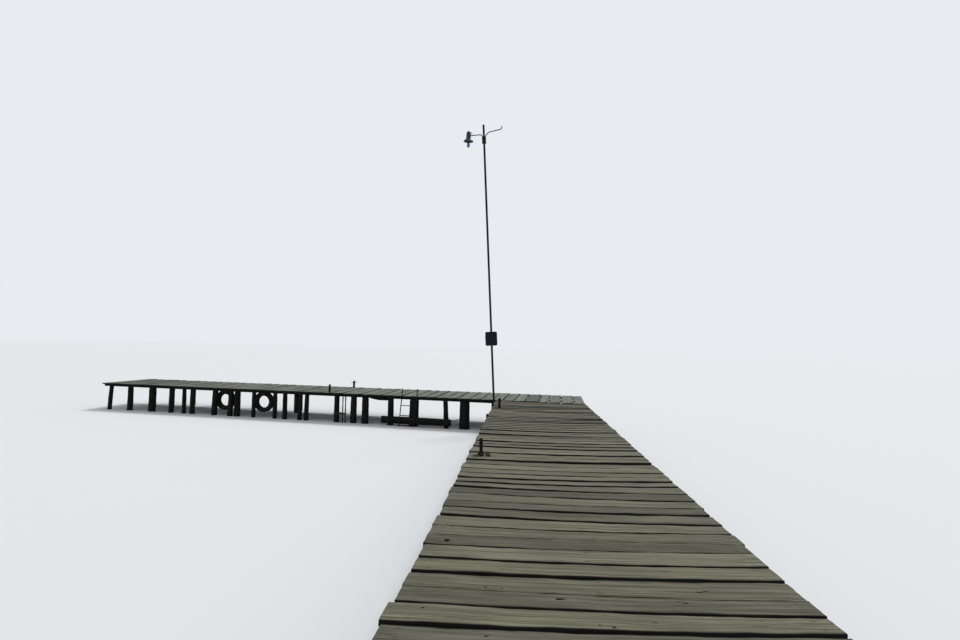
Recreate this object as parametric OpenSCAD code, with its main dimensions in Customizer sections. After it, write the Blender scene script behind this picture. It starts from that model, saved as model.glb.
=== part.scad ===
// Wooden jetty: a walkway on pile bents that ends in a skewed mooring arm,
// with a lamp pole at the inner corner, a bathing ladder and tyre fenders.
// Millimetres, +Y along the walkway from the shore end, +X right, z = 0 at the water.

/* [Deck] */
// Width of the walkway's deck
walk_w = 2480; // [2000:10:3200]
// Height of the deck above the water
deck_h = 900; // [780:10:1400]
// Thickness of the planks
plank_t = 40; // [30:1:60]
// Average width of the walkway's planks
plank_w = 300; // [220:5:380]
// Average width of the arm's planks
arm_plank_w = 330; // [250:5:400]

/* [Walkway] */
// Distance from bent to bent
bay_l = 2500; // [2000:50:3000]
// Last bay, from its bent to the arm's edge
joining_bay_l = 2350; // [1800:50:2600]
// Deck beyond the first bent at the shore end
end_overhang = 150; // [120:10:300]
// Width of a walkway stringer
walk_stringer_w = 90; // [70:5:120]
// Depth of a walkway stringer
walk_stringer_h = 110; // [90:5:140]
// Deck beyond the outer stringers at each side
side_lip = 60; // [40:5:120]
// Width of a cap beam
cap_w = 120; // [90:5:160]
// Depth of a cap beam
cap_h = 120; // [90:5:160]
// Thickness of a walkway pile under its cap beam
walk_pile_d = 190; // [140:5:230]
// Distance of a walkway pile from the deck's edge
pile_inset = 340; // [320:10:500]

/* [Arm] */
// Length of the arm's front edge, from the inner corner to the far end
arm_l = 14000; // [12000:100:16000]
// Width of the arm, square to its front edge
arm_w = 2870; // [2500:10:3200]
// Angle of the arm away from square to the walkway
arm_skew = 13; // [5:1:18]
// Width of an arm stringer
arm_stringer_w = 120; // [90:5:140]
// Depth of an arm stringer
arm_stringer_h = 65; // [55:5:100]
// Deck beyond the arm's outer stringers
arm_lip = 42; // [40:1:70]
// Usual thickness of an arm pile
arm_pile_d = 160; // [140:5:190]

/* [Fenders] */
// Outer diameter of a tyre
tyre_d = 660; // [560:5:700]
// Opening of a tyre between its beads
tyre_hole_d = 390; // [350:5:420]
// Width of a tyre
tyre_w = 190; // [155:5:215]
// Thickness of a tyre's wall
tyre_wall = 14; // [10:1:20]
// Width of the straps that hold the tyres
strap_w = 40; // [30:1:60]
// Thickness of those straps
strap_t = 5; // [3:1:8]
// Depth of the fender beam
fender_h = 205; // [140:5:240]
// Thickness of the fender beam
fender_t = 100; // [80:5:120]
// Height of the fender beam's middle above the water
fender_z = 175; // [150:5:400]

/* [Ladder] */
// Distance between the ladder's rails, centre to centre
ladder_w = 475; // [380:5:520]
// Thickness of a rail
rail_d = 30; // [25:1:40]
// Thickness of a rung
rung_d = 24; // [18:1:30]
// Distance from rung to rung
rung_pitch = 295; // [250:5:320]
// Rails above the deck
rail_above = 220; // [150:10:400]
// Lean of the rails towards the arm's far end
ladder_lean = 5; // [0:0.5:6]

/* [Lamp pole] */
// Diameter of the pole
pole_d = 60; // [50:1:76]
// Wall of the pole's tube
pole_wall = 4; // [3:0.5:6]
// Height of the pole above the deck
pole_h = 7940; // [6000:20:9000]
// Lean of the pole
pole_lean = 3.3; // [0:0.1:4]
// Thickness of the lamp arms
arm_bar_d = 27; // [20:1:33]
// Distance of the arms' clamps below the top of the pole
clamp_drop = 430; // [400:10:600]
// Distance from the pole to the lamp's axis
lamp_reach = 450; // [420:10:500]
// Diameter of the lamp's housing at its foot
housing_d = 136; // [116:2:150]
// Height of the lamp's housing
housing_h = 200; // [170:5:230]
// Diameter of the shade's rim
shade_d = 290; // [260:5:340]
// Height of the shade
shade_h = 115; // [95:5:140]
// Wall of the housing and the shade
shade_wall = 3; // [2:0.5:5]
// Diameter of the bulb
bulb_d = 82; // [70:1:95]

/* [Switch box] */
// Width of the switch box
box_w = 330; // [260:5:380]
// Height of the switch box
box_h = 395; // [300:5:450]
// Depth of the switch box
box_depth = 150; // [110:5:180]
// Sheet of the switch box
box_wall = 3; // [2:0.5:5]
// Height of the box's underside above the deck
box_z = 1545; // [1200:5:1800]

/* [Mooring posts] */
// Thickness of the posts on the arm and of the far walkway post
post_d = 80; // [60:1:100]
// Thickness of the near walkway post, which holds the rope
rope_post_d = 60; // [50:1:80]
// Height of a post above the deck
post_above = 240; // [180:10:320]
// Thickness of the mooring rope
rope_d = 14; // [12:1:18]

/* [Hidden] */
$fn = 48;

// Whole bays before the joining bay, one plank node each
bays = 6;
// Gap between a piece and the one that it stands against
seat = 0.3;
// Depth of the flat that is cut in a pile where a beam is bolted on
notch = 8;
// Gap between the ends of two stringers on one cap beam
butt = 4;
// Swelling of a pile from its head to its foot
foot_swell = 1.12;
// Clearance all round a post in its hole in the planks
post_hole = 4;

walk_l = end_overhang + bays * bay_l + joining_bay_l;
corner = [-walk_w / 2, walk_l + walk_w / 2 * tan(arm_skew)];
arm_reach = arm_l * cos(arm_skew);
arm_depth = arm_w / cos(arm_skew);
under_planks = deck_h - plank_t;
cap_top = under_planks - walk_stringer_h;
arm_pile_top = under_planks - arm_stringer_h;

// Middle of the whole jetty in plan, so that it stands over the origin
left_x = corner[0] - arm_reach;
back_y = corner[1] + arm_l * sin(arm_skew) + arm_depth;
centre = [(walk_w / 2 + left_x) / 2, back_y / 2];

// Walkway planks from the shore end: width against the average, how far the
// seam after it turns (right end further on, mm), and the gap of that seam
walk_boards = [
    [29, 20, 10], [31, -25, 14], [28, 10, 6], [30, 30, 20], [29, -15, 8], [31, 10, 12], [29, 95, 26],
    [28, 35, 8], [26, 20, 4], [31, 75, 25], [30, 55, 9], [32, 60, 10], [27, 15, 4], [27, 30, 6],
    [32, -60, 32], [33, -40, 26], [28, -30, 5], [32, -80, 18], [33, -70, 14], [31, 40, 12],
    [28, 60, 12], [28, 20, 10], [29, -10, 8], [32, 10, 4], [34, 45, 32], [33, 20, 5],
    [31, 25, 28], [27, -20, 5], [28, -50, 28], [31, -30, 24], [33, -20, 20]
];
// Arm planks from the walkway's right edge: width against the average, how far
// the back end turns to the left (mm), and the gap of the seam after it
arm_boards = [
    [30, 15, 12], [34, 10, 18], [33, 20, 10], [28, 5, 14], [38, 15, 8], [31, -10, 16], [31, 10, 22],
    [29, 20, 10], [33, 0, 12], [32, 10, 8], [35, 25, 20], [31, -5, 10], [33, 15, 14],
    [34, 5, 26], [31, -10, 8], [36, 20, 12], [32, 0, 18], [33, 10, 10]
];

// Arm piles: place along the arm from the inner corner (share of its length),
// thickness against the usual one, lean along the arm and lean outwards (degrees)
front_piles = [
    [-0.158, 1.1, 0, 0], [-0.058, 1.1, 0, 0],
    [0.070, 1.75, 0, 0], [0.111, 0.85, -2.5, 0], [0.1825, 1.65, 1.2, 0], [0.2355, 1.07, 0, 0],
    [0.296, 1.24, 0, 0], [0.3235, 1.17, 0, 0], [0.364, 1, 0, 0], [0.438, 0.84, 1, 0],
    [0.454, 0.8, 1.5, 0], [0.494, 0.88, -1, 1], [0.519, 0.76, 0, 0], [0.575, 0.76, 0, 0],
    [0.6201, 1.17, 0, 0], [0.637, 1, 1, 2], [0.680, 1.12, 2, 0], [0.7425, 0.96, 0, 0],
    [0.766, 0.82, 0, 0], [0.8028, 0.95, 0, 0], [0.860, 1.42, 1, 0], [0.924, 1.12, 1, 0],
    [0.980, 0.82, 1.5, 3]
];
middle_piles = [
    [-0.137, 1.1, 0, 0], [-0.030, 1.1, 0, 0], [0.100, 1.2, 0, 0], [0.219, 1.15, 0, 0],
    [0.342, 1.05, 0, 0], [0.494, 0.7, 0, 0], [0.580, 0.72, 0, 0], [0.687, 1.12, 0, 0],
    [0.752, 1.0, 1, 0], [0.881, 1.06, 1, 0]
];
back_piles = [
    [-0.115, 1.1, 0, 0], [-0.006, 1.1, 0, 0], [0.131, 1.25, 0, 0], [0.257, 1.2, 0, 0],
    [0.418, 1.12, 0, 0], [0.568, 0.72, 0, 0], [0.705, 0.75, 0, 0], [0.825, 1.0, 1, 0],
    [0.894, 0.94, 0, 0], [0.962, 0.95, 1, 0]
];
pole_pile_scale = 1.2;
// Numbers of the front piles that carry the fender beam, and of the one with the stakes
fender_from = 3;
fender_to = 5;
stake_pile = 8;

function front_y(x) = corner[1] - (x - corner[0]) * tan(arm_skew);
function pile_d(p) = arm_pile_d * p[1];
function running(list, i) = i == 0 ? 0 : running(list, i - 1) + list[(i - 1) % len(list)][0];
function along_u(v) = v * tan(arm_skew);

// Seams of the walkway: as many boards as fill the left edge, the last one cut to the arm
walk_share = plank_w / 30;
walk_count = round((corner[1] - plank_w / 10) / plank_w);
function walk_seam(i) = i > walk_count ? 2 * walk_l : walk_share * running(walk_boards, i);
function walk_turn(i) = i == 0 ? 0 : walk_boards[(i - 1) % len(walk_boards)][1];
function walk_gap(i) = i == 0 ? 0 : walk_boards[(i - 1) % len(walk_boards)][2];

// Seams of the arm: boards that fill its whole length
arm_run = walk_w + arm_reach;
arm_count = round(arm_run / arm_plank_w);
function arm_seam(i) = walk_w / 2 - arm_run * running(arm_boards, i) / running(arm_boards, arm_count);
// The corner's seams fan out to the right at the back; the fan dies out along the arm
fan_turn = 190;
fan_end = 22;
right_end_turn = 40;
function fan(i) = fan_turn * min(1, max(0, (fan_end - i) / (fan_end - corner_count)));
function own_turn(i) = i == 0 ? right_end_turn : arm_boards[(i - 1) % len(arm_boards)][1];
function arm_turn(i) = i == arm_count ? 0 : own_turn(i) - fan(i);
function arm_gap(i) = i == 0 || i == arm_count ? 0 : arm_boards[(i - 1) % len(arm_boards)][2];
// Small steps of the board ends, from -1 to 1
function ragged(i) = sin(i * 137) * cos(i * 61);
walk_rag = 14;
arm_rag = 12;
// Last walkway board that sticks out at its ends, and by how much at the left and right
proud_board = 7;
proud_left = 30;
proud_right = 20;

// How far the square board ends of the arm step out past its slanted edge, and the
// gap that the walkway's last board leaves to them
arm_board_step = arm_rag + arm_plank_w * tan(arm_skew) / 2;
board_gap = 4;

// Posts: place in plan and thickness
post_inset = side_lip + walk_stringer_w;
function walk_post(k, d) = [
    -walk_w / 2 + post_inset + d / 2 + seat,
    end_overhang + k * bay_l + cap_w / 2 + d / 2 + seat,
    d
];
post_c = walk_post(6, post_d);
post_d_at = walk_post(3, rope_post_d);
post_a_share = 0.386;
post_b_share = 0.416;
post_a_v = arm_lip + arm_stringer_w + post_d / 2 + seat;
post_b_v = arm_w - post_a_v;
function arm_point(u, v) = [
    corner[0] - u * cos(arm_skew) + v * sin(arm_skew),
    corner[1] + u * sin(arm_skew) + v * cos(arm_skew)
];
post_a = concat(arm_point(post_a_share * arm_l, post_a_v), [post_d]);
post_b = concat(arm_point(post_b_share * arm_l, post_b_v), [post_d]);

// Lamp pole: it stands in the inner corner, clear of the ragged board ends
pole_clear = 6;
pole_at = [
    corner[0] - pole_d / 2 - pole_clear - walk_rag,
    front_y(corner[0] - pole_d) - arm_board_step - pole_d / 2 - pole_clear
];
pole_pile_d = arm_pile_d * pole_pile_scale;
pole_pile_at = [
    pole_at[0] + deck_h / 2 * tan(pole_lean),
    pole_at[1] + pole_d / 2 + pole_pile_d * foot_swell / 2 + seat
];
clamp_h = pole_h - clamp_drop;
lamp_x = pole_at[0] - clamp_h * sin(pole_lean) - lamp_reach;
housing_above_clamp = 50;
housing_z = deck_h + clamp_h * cos(pole_lean) + housing_above_clamp;
rim_z = housing_z - shade_h;
fender_v = arm_lip + notch - fender_t;
ladder_v = fender_v - rail_d / 2 - seat;
ladder_u = 0.1875 * arm_l;
stake_d = 35;
stake_v = arm_lip - stake_d / 2 - seat;

module centred() translate([-centre[0], -centre[1], 0]) children();

module at_arm(u, v, z) {
    translate([corner[0], corner[1], 0])
    rotate([0, 0, -arm_skew])
    translate([-u, v, z])
    children();
}

// Everything above the water and up to a height, cut by a block far larger than the jetty
far_off = 4 * arm_l;

module above_water(top) {
    intersection() {
        children();
        translate([-far_off, -far_off, 0])
        cube([2 * far_off, 2 * far_off, top]);
    }
}

// Round holes for the mooring posts
module post_holes() {
    for (p = [post_a, post_b, post_c, post_d_at])
        translate([p[0], p[1], under_planks - 1])
        cylinder(h = plank_t + 2, d = p[2] + 2 * post_hole);
}

// Walkway
// Plan of what lies this side of the arm, up to a gap from its front edge
module this_side_of_arm(gap) {
    polygon([
        [-walk_w, -plank_w],
        [walk_w, -plank_w],
        [walk_w, front_y(walk_w) - gap],
        [-walk_w, front_y(-walk_w) - gap]
    ]);
}

module walk_plank(i) {
    proud = i <= proud_board ? 1 : 0;
    left = -walk_w / 2 + walk_rag * ragged(i) - proud * proud_left;
    right = walk_w / 2 + walk_rag * ragged(i + 40) + proud * proud_right;
    linear_extrude(plank_t)
    polygon([
        [left, walk_seam(i) - walk_turn(i) / 2 + walk_gap(i) / 2],
        [right, walk_seam(i) + walk_turn(i) / 2 + walk_gap(i) / 2],
        [right, walk_seam(i + 1) + walk_turn(i + 1) / 2 - walk_gap(i + 1) / 2],
        [left, walk_seam(i + 1) - walk_turn(i + 1) / 2 - walk_gap(i + 1) / 2]
    ]);
}

module walkway_planks(k) {
    from = end_overhang + (k - 1) * bay_l;
    color("tan")
    centred()
    difference() {
        intersection() {
            translate([0, 0, under_planks])
            for (i = [0 : walk_count])
                if ((k == 1 || walk_seam(i) >= from) && (k > bays || walk_seam(i) < from + bay_l))
                    walk_plank(i);
            translate([0, 0, under_planks - 1])
            linear_extrude(plank_t + 2)
            this_side_of_arm(arm_board_step + board_gap);
        }
        post_holes();
    }
}

stringer_start = end_overhang / 3;

module walkway_stringers() {
    lines = [-walk_w / 2 + side_lip, -walk_stringer_w / 2, walk_w / 2 - side_lip - walk_stringer_w];
    color("saddlebrown")
    centred()
    intersection() {
        for (x = lines, k = [0 : bays]) {
            near = k == 0 ? stringer_start : end_overhang + k * bay_l + butt / 2;
            far = k == bays ? 2 * walk_l : end_overhang + (k + 1) * bay_l - butt / 2;
            translate([x, near, cap_top])
            cube([walk_stringer_w, far - near, walk_stringer_h]);
        }
        linear_extrude(deck_h)
        this_side_of_arm(butt - arm_lip);
    }
}

// Cap beams: how far each one reaches past the deck's left edge, and how far all stay
// inside the right edge
cap_reach = [-60, -90, -50, -80, -60, -90, 130];
cap_inside = 50;

module walkway_cap_beams() {
    color("saddlebrown")
    centred()
    for (k = [0 : bays])
        translate([-walk_w / 2 - cap_reach[k], end_overhang + k * bay_l - cap_w / 2, cap_top - cap_h])
        cube([walk_w + cap_reach[k] - cap_inside, cap_w, cap_h]);
}

// A round pile with its head at a height, its foot cut off level at the water
module pile(d, top, lean_along = 0, lean_out = 0) {
    above_water(top)
    translate([0, 0, top])
    rotate([-lean_out, lean_along, 0])
    translate([0, 0, -1.1 * top])
    cylinder(h = 1.2 * top, d1 = d * foot_swell, d2 = d);
}

// Thickness of such a pile at a height, where it stands upright
function pile_d_at(d, top, z) = d * (foot_swell + (1 - foot_swell) * (z + 0.1 * top) / (1.2 * top));

module walkway_piles() {
    color("dimgray")
    centred()
    for (side = [-1, 1], k = [0 : bays])
        translate([side * (walk_w / 2 - pile_inset), end_overhang + k * bay_l, 0])
        pile(walk_pile_d * (1 + 0.06 * ragged(2 * k + side)), cap_top - cap_h);
}

// Beam on the fronts of the arm's first two piles, which carries the walkway's last
// ends, and how far it reaches past those piles to the right and to the left
ledger_past = [118, 462];

module ledger_body() {
    u_right = front_piles[0][0] * arm_l - ledger_past[0];
    u_left = front_piles[1][0] * arm_l + ledger_past[1];
    at_arm(u_left, arm_lip + notch - cap_w, cap_top - cap_h)
    cube([u_left - u_right, cap_w, cap_h]);
}

module joining_ledger() {
    color("saddlebrown")
    centred()
    ledger_body();
}

// Arm
module arm_plank(i) {
    mid = (arm_seam(i) + arm_seam(i + 1)) / 2;
    near = front_y(mid) + arm_rag * ragged(i + 7);
    far = front_y(mid) + arm_depth + arm_rag * ragged(i + 90);
    linear_extrude(plank_t)
    polygon([
        [arm_seam(i) - arm_gap(i) / 2, near],
        [arm_seam(i) - arm_gap(i) / 2 - arm_turn(i), far],
        [arm_seam(i + 1) + arm_gap(i + 1) / 2 - arm_turn(i + 1), far],
        [arm_seam(i + 1) + arm_gap(i + 1) / 2, near]
    ]);
}

module arm_planks(from, to) {
    color("tan")
    centred()
    difference() {
        translate([0, 0, under_planks])
        for (i = [from : to - 1])
            arm_plank(i);
        post_holes();
    }
}

// The first boards lie over the walkway's width, the rest in four runs
corner_count = round(walk_w / arm_plank_w);
function run_start(k) = corner_count + round((arm_count - corner_count) * (k - 1) / 4);

// Numbers of the piles over which the lengths of each stringer line meet
front_joints = [2, 6, 15, 20];
middle_joints = [2, 4, 7];
back_joints = [2, 4, 6];

module stringer_line(v, piles, joints) {
    right_end = -(walk_w - arm_lip) / cos(arm_skew) + along_u(v);
    left_end = arm_l - arm_lip / cos(arm_skew) + along_u(v);
    meets = [for (j = joints) piles[j][0] * arm_l];
    starts = concat([right_end], [for (m = meets) m + butt / 2]);
    stops = concat([for (m = meets) m - butt / 2], [left_end]);
    for (k = [0 : len(joints)])
        at_arm(stops[k], v, arm_pile_top)
        cube([stops[k] - starts[k], arm_stringer_w, arm_stringer_h]);
}

module arm_front_stringer() {
    color("saddlebrown")
    centred()
    stringer_line(arm_lip, front_piles, front_joints);
}

module arm_inner_stringers() {
    color("saddlebrown")
    centred() {
        stringer_line((arm_w - arm_stringer_w) / 2, middle_piles, middle_joints);
        stringer_line(arm_w - arm_lip - arm_stringer_w, back_piles, back_joints);
    }
}

// Short timber under the front stringer, against the left side of a fender pile
bolster_l = 560;
bolster_h = 60;
bolster_w = 100;

module stringer_bolster() {
    p = front_piles[fender_to];
    u = p[0] * arm_l + pile_d(p) / 2 + seat;
    color("saddlebrown")
    centred()
    at_arm(u, arm_lip + bolster_w, arm_pile_top)
    rotate([90, 0, 0])
    linear_extrude(bolster_w)
    polygon([
        [0, 0],
        [-bolster_l, 0],
        [-bolster_l, -bolster_h / 4],
        [-bolster_l / 2, -bolster_h],
        [0, -bolster_h]
    ]);
}

module arm_front_piles() {
    color("dimgray")
    centred()
    difference() {
        union() {
            for (p = front_piles)
                at_arm(p[0] * arm_l, arm_lip + pile_d(p) / 2, 0)
                pile(pile_d(p), arm_pile_top, p[2], p[3]);
            translate([pole_pile_at[0], pole_pile_at[1], 0])
            pile(pole_pile_d, arm_pile_top);
        }
        fender_body();
        ledger_body();
    }
}

module arm_middle_piles() {
    color("dimgray")
    centred()
    for (p = middle_piles)
        at_arm(p[0] * arm_l, arm_w / 2, 0)
        pile(pile_d(p), arm_pile_top, p[2], p[3]);
}

module arm_back_piles() {
    color("dimgray")
    centred()
    for (p = back_piles)
        at_arm(p[0] * arm_l, arm_w - arm_lip - pile_d(p) / 2, 0)
        pile(pile_d(p), arm_pile_top, p[2], p[3]);
}

// Fender beam on the fronts of three piles, with bevelled ends
fender_overhang = 230;

module fender_body() {
    u_left = front_piles[fender_to][0] * arm_l + fender_overhang;
    u_right = front_piles[fender_from][0] * arm_l - fender_overhang;
    l = u_left - u_right;
    bevel = fender_h / 6;
    at_arm(u_left, fender_v + fender_t, fender_z - fender_h / 2)
    rotate([90, 0, 0])
    linear_extrude(fender_t)
    polygon([[0, 0], [l, 0], [l, fender_h - bevel], [l - bevel, fender_h], [0, fender_h]]);
}

module fender_beam() {
    color("saddlebrown")
    centred()
    fender_body();
}

// Thin stakes beside a front pile, and the rope lashing that ties them to it
stake_gap = 175;
stake_pitch = 90;

function stake_u(i) = let (p = front_piles[stake_pile])
    p[0] * arm_l - pile_d(p) / 2 - stake_gap - i * stake_pitch;

module thin_stakes() {
    color("dimgray")
    centred()
    for (i = [0, 1])
        at_arm(stake_u(i), stake_v, 0)
        cylinder(h = under_planks, d = stake_d);
}

lashing_z = 245;
lashing_h = 60;
lashing_t = 14;

module lashing_outline(grow) {
    p = front_piles[stake_pile];
    hull() {
        translate([-p[0] * arm_l, arm_lip + pile_d(p) / 2])
        circle(d = pile_d_at(pile_d(p), arm_pile_top, lashing_z) + 2 * grow, $fn = 32);
        for (i = [0, 1])
            translate([-stake_u(i), stake_v])
            circle(d = stake_d + 2 * grow, $fn = 32);
    }
}

module stake_lashing() {
    color("darkslategray")
    centred()
    at_arm(0, 0, lashing_z)
    difference() {
        linear_extrude(lashing_h)
        lashing_outline(lashing_t);
        translate([0, 0, -1])
        linear_extrude(lashing_h + 2)
        lashing_outline(seat);
    }
}

// Tyres: place of the centre in the arm's frame, and the turn of the tread
tyre_drop = 43;
tyre_z = under_planks - tyre_drop - tyre_d / 2;
tyres = [
    [0.666, 400, 6],
    [0.562, 400, 6],
    [0.479, 480, -59]
];

// Half of a tyre's outline from bead to tread, one sidewall
function carcass(r_bead, r_out, half, inset) = [
    [r_bead, half * 0.62 - inset],
    [r_bead + (r_out - r_bead) * 0.25, half * 0.9 - inset],
    [r_bead + (r_out - r_bead) * 0.5, half - inset],
    [r_bead + (r_out - r_bead) * 0.75, half * 0.94 - inset],
    [r_out - (r_out - r_bead) * 0.08 - inset * 0.6, half * 0.76 - inset],
    [r_out - inset, half * 0.55 - inset * 0.6]
];
function reversed(points) = [for (i = [len(points) - 1 : -1 : 0]) points[i]];
function other_side(points) = [for (p = points) [p[0], -p[1]]];

// Tread: grooves that run round it, and cuts across its shoulders between the lugs
groove_w = 7;
groove_depth = 5;
groove_pitch = 28;
lugs = 40;

module tyre_ring() {
    r = tyre_d / 2;
    outer = carcass(tyre_hole_d / 2, r, tyre_w / 2, 0);
    inner = carcass(tyre_hole_d / 2, r, tyre_w / 2, tyre_wall);
    grooves = [
        for (g = [1 : -1 : -1], turn = [[0, 1], [1, 1], [1, -1], [0, -1]])
            [r - turn[0] * groove_depth, g * groove_pitch + turn[1] * groove_w / 2]
    ];
    rotate_extrude($fn = 64)
    polygon(concat(outer, grooves, reversed(other_side(outer)), other_side(inner), reversed(inner)));
}

module lug_cuts() {
    for (a = [0 : lugs - 1], side = [0, 1])
        mirror([0, 0, side])
        rotate([0, 0, (a + side / 2) * 360 / lugs])
        translate([tyre_d / 2 - groove_depth, -groove_w / 2, groove_pitch + groove_w])
        cube([2 * groove_depth, groove_w, tyre_w]);
}

module treaded_tyre() {
    rotate([90, 0, 0])
    difference() {
        tyre_ring();
        lug_cuts();
    }
}

module at_tyre(i) {
    at_arm(tyres[i][0] * arm_l, tyres[i][1], tyre_z)
    rotate([0, 0, tyres[i][2]])
    children();
}

module tyre(i) {
    color("black")
    centred()
    at_tyre(i)
    treaded_tyre();
}

// Each strap goes down through the tyre and back up to the planks
module tyre_straps() {
    inside = tyre_w + 2 * seat;
    top = under_planks - tyre_z;
    low = sqrt(pow(tyre_hole_d / 2, 2) - pow(strap_w / 2, 2)) - seat;
    color("gray")
    centred()
    for (i = [0 : len(tyres) - 1])
        at_tyre(i)
        difference() {
            translate([-strap_w / 2, -inside / 2 - strap_t, low - strap_t])
            cube([strap_w, inside + 2 * strap_t, top - low + strap_t]);
            translate([-strap_w, -inside / 2, low])
            cube([2 * strap_w, inside, top]);
        }
}

// Ladder: two rails that lean together, with level rungs between them
rungs = 3;
first_rung = 280;

module rail(side) {
    at_arm(ladder_u - side * ladder_w / 2, ladder_v, deck_h)
    rotate([0, ladder_lean, 0])
    translate([0, 0, -1.2 * deck_h])
    cylinder(h = 1.2 * deck_h + rail_above, d = rail_d);
}

module ladder_rails() {
    color("darkslategray")
    centred()
    above_water(3 * deck_h)
    for (side = [-1, 1])
        rail(side);
}

module ladder_rungs() {
    color("darkslategray")
    centred()
    difference() {
        for (k = [0 : rungs - 1]) {
            drop = first_rung + k * rung_pitch;
            at_arm(ladder_u + drop * tan(ladder_lean), ladder_v, deck_h - drop)
            rotate([0, 90, 0])
            cylinder(h = ladder_w, d = rung_d, center = true);
        }
        for (side = [-1, 1])
            rail(side);
    }
}

// Lamp pole: a capped steel tube that leans to the left
module on_pole(h) {
    translate([pole_at[0], pole_at[1], deck_h])
    rotate([0, -pole_lean, 0])
    translate([0, 0, h])
    children();
}

module lamp_pole() {
    color("gray")
    centred()
    above_water(2 * pole_h)
    difference() {
        on_pole(-1.2 * deck_h)
        cylinder(h = 1.2 * deck_h + pole_h, d = pole_d);
        on_pole(-1.3 * deck_h)
        cylinder(h = 1.3 * deck_h + pole_h - pole_wall, d = pole_d - 2 * pole_wall);
    }
}

// Flat bands round the pole and the pile behind it
band_h = 45;
band_t = 5;
band_places = [0.28, 0.72];
band_slack = 2;

module band_outline(z, grow) {
    hull() {
        translate([pole_at[0] + (deck_h - z) * tan(pole_lean), pole_at[1]])
        circle(d = pole_d + 2 * band_slack + 2 * grow, $fn = 32);
        translate(pole_pile_at)
        circle(d = pile_d_at(pole_pile_d, arm_pile_top, z) + 2 * grow, $fn = 32);
    }
}

module pole_straps() {
    color("gray")
    centred()
    for (share = band_places) {
        z = share * arm_pile_top;
        difference() {
            translate([0, 0, z])
            linear_extrude(band_h)
            band_outline(z, band_t);
            translate([0, 0, z - 1])
            linear_extrude(band_h + 2)
            band_outline(z, seat);
        }
    }
}

// A round bar that goes up and bends: each step is a straight length and a turn
// after it, and a bend is three short lengths with a rounded joint after each
bend_parts = 3;
joint_swell = 1.04;
function bend_steps(steps, r) = [
    for (s = steps, k = [1 : s[1] == 0 ? 1 : bend_parts])
        [k == 1 ? s[0] : r * abs(s[1]) / bend_parts * PI / 180, s[1] == 0 ? 0 : s[1] / bend_parts]
];

module bar_run(steps, d, i = 0) {
    if (i < len(steps)) {
        cylinder(h = steps[i][0], d = d);
        translate([0, 0, steps[i][0]])
        rotate([0, steps[i][1], 0]) {
            if (steps[i][1] != 0)
                sphere(d = d * joint_swell);
            bar_run(steps, d, i + 1);
        }
    }
}

module bent_bar(steps, d, r) {
    bar_run(bend_steps(steps, r), d);
}

bend_r = 60;
leg_l = 215;
leg_x = pole_d / 2 + arm_bar_d / 2 + seat;
bar_low = -130;
// Reach of the lamp arm before its last straight length, and what that stops short of
// the lamp's axis
bend_reach = 140;
empty_arm_steps = [[leg_l, 43], [110, 36], [345, -74], [60, 0]];
lamp_arm_steps = [[leg_l, 34], [20, 58], [lamp_reach - bend_reach, 0]];

module empty_arm() {
    color("gray")
    centred()
    on_pole(clamp_h)
    translate([leg_x, 0, bar_low])
    bent_bar(empty_arm_steps, arm_bar_d, bend_r);
}

module lamp_arm() {
    color("gray")
    centred()
    difference() {
        on_pole(clamp_h)
        translate([-leg_x, 0, bar_low])
        rotate([0, 0, 180])
        bent_bar(lamp_arm_steps, arm_bar_d, bend_r);
        housing_form(seat);
    }
}

// Bands that hold both legs against the pole
clamp_places = [-110, 20];
clamp_band_h = 30;
clamp_band_t = 4;

module clamp_outline(grow) {
    hull()
    for (x = [-leg_x, 0, leg_x])
        translate([x, 0])
        circle(d = (x == 0 ? pole_d : arm_bar_d) + 2 * grow, $fn = 32);
}

module arm_clamps() {
    color("dimgray")
    centred()
    for (h = clamp_places)
        on_pole(clamp_h + h)
        difference() {
            linear_extrude(clamp_band_h)
            clamp_outline(clamp_band_t);
            translate([0, 0, -1])
            linear_extrude(clamp_band_h + 2)
            clamp_outline(seat);
        }
}

// Lamp: a housing with the shade under it, the socket and the bulb
module at_lamp(z) {
    translate([lamp_x, pole_at[1], z])
    children();
}

// Housing: a skirt that narrows into a crowned head with a cap nut on top. Each step is
// the share of the foot's radius against the share of the height
crown = 0.94;
housing_steps = [[1, 0], [1, 0.18], [0.96, 0.5], [0.9, 0.66], [0.76, 0.8], [0.52, 0.9], [0.3, crown]];
cap_nut_r = 11;

// The form of the housing without its hollow, grown by a gap
module housing_form(grow) {
    at_lamp(housing_z)
    rotate_extrude()
    polygon(concat(
        [[0, -grow], [housing_d / 2 + grow, -grow]],
        [for (p = housing_steps) [housing_d / 2 * p[0] + grow, housing_h * p[1]]],
        [[0, housing_h * crown]]
    ));
}

module lamp_housing() {
    r = housing_d / 2;
    outer = [for (p = housing_steps) [r * p[0], housing_h * p[1]]];
    inner = [for (p = reversed(housing_steps)) [r * p[0] - shade_wall, (housing_h - shade_wall) * p[1]]];
    color("teal")
    centred()
    at_lamp(housing_z)
    rotate_extrude()
    polygon(concat(
        outer,
        [[cap_nut_r, housing_h * crown], [cap_nut_r, housing_h], [0, housing_h]],
        [[0, (housing_h - shade_wall) * crown]],
        inner
    ));
}

// Bell of the shade: radius against the height, from the neck to a rolled rim
function bell(t) = housing_d / 2 + (shade_d - housing_d) / 2 * pow(t, 1.35);
bell_steps = 8;
roll_d = 9;

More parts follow.
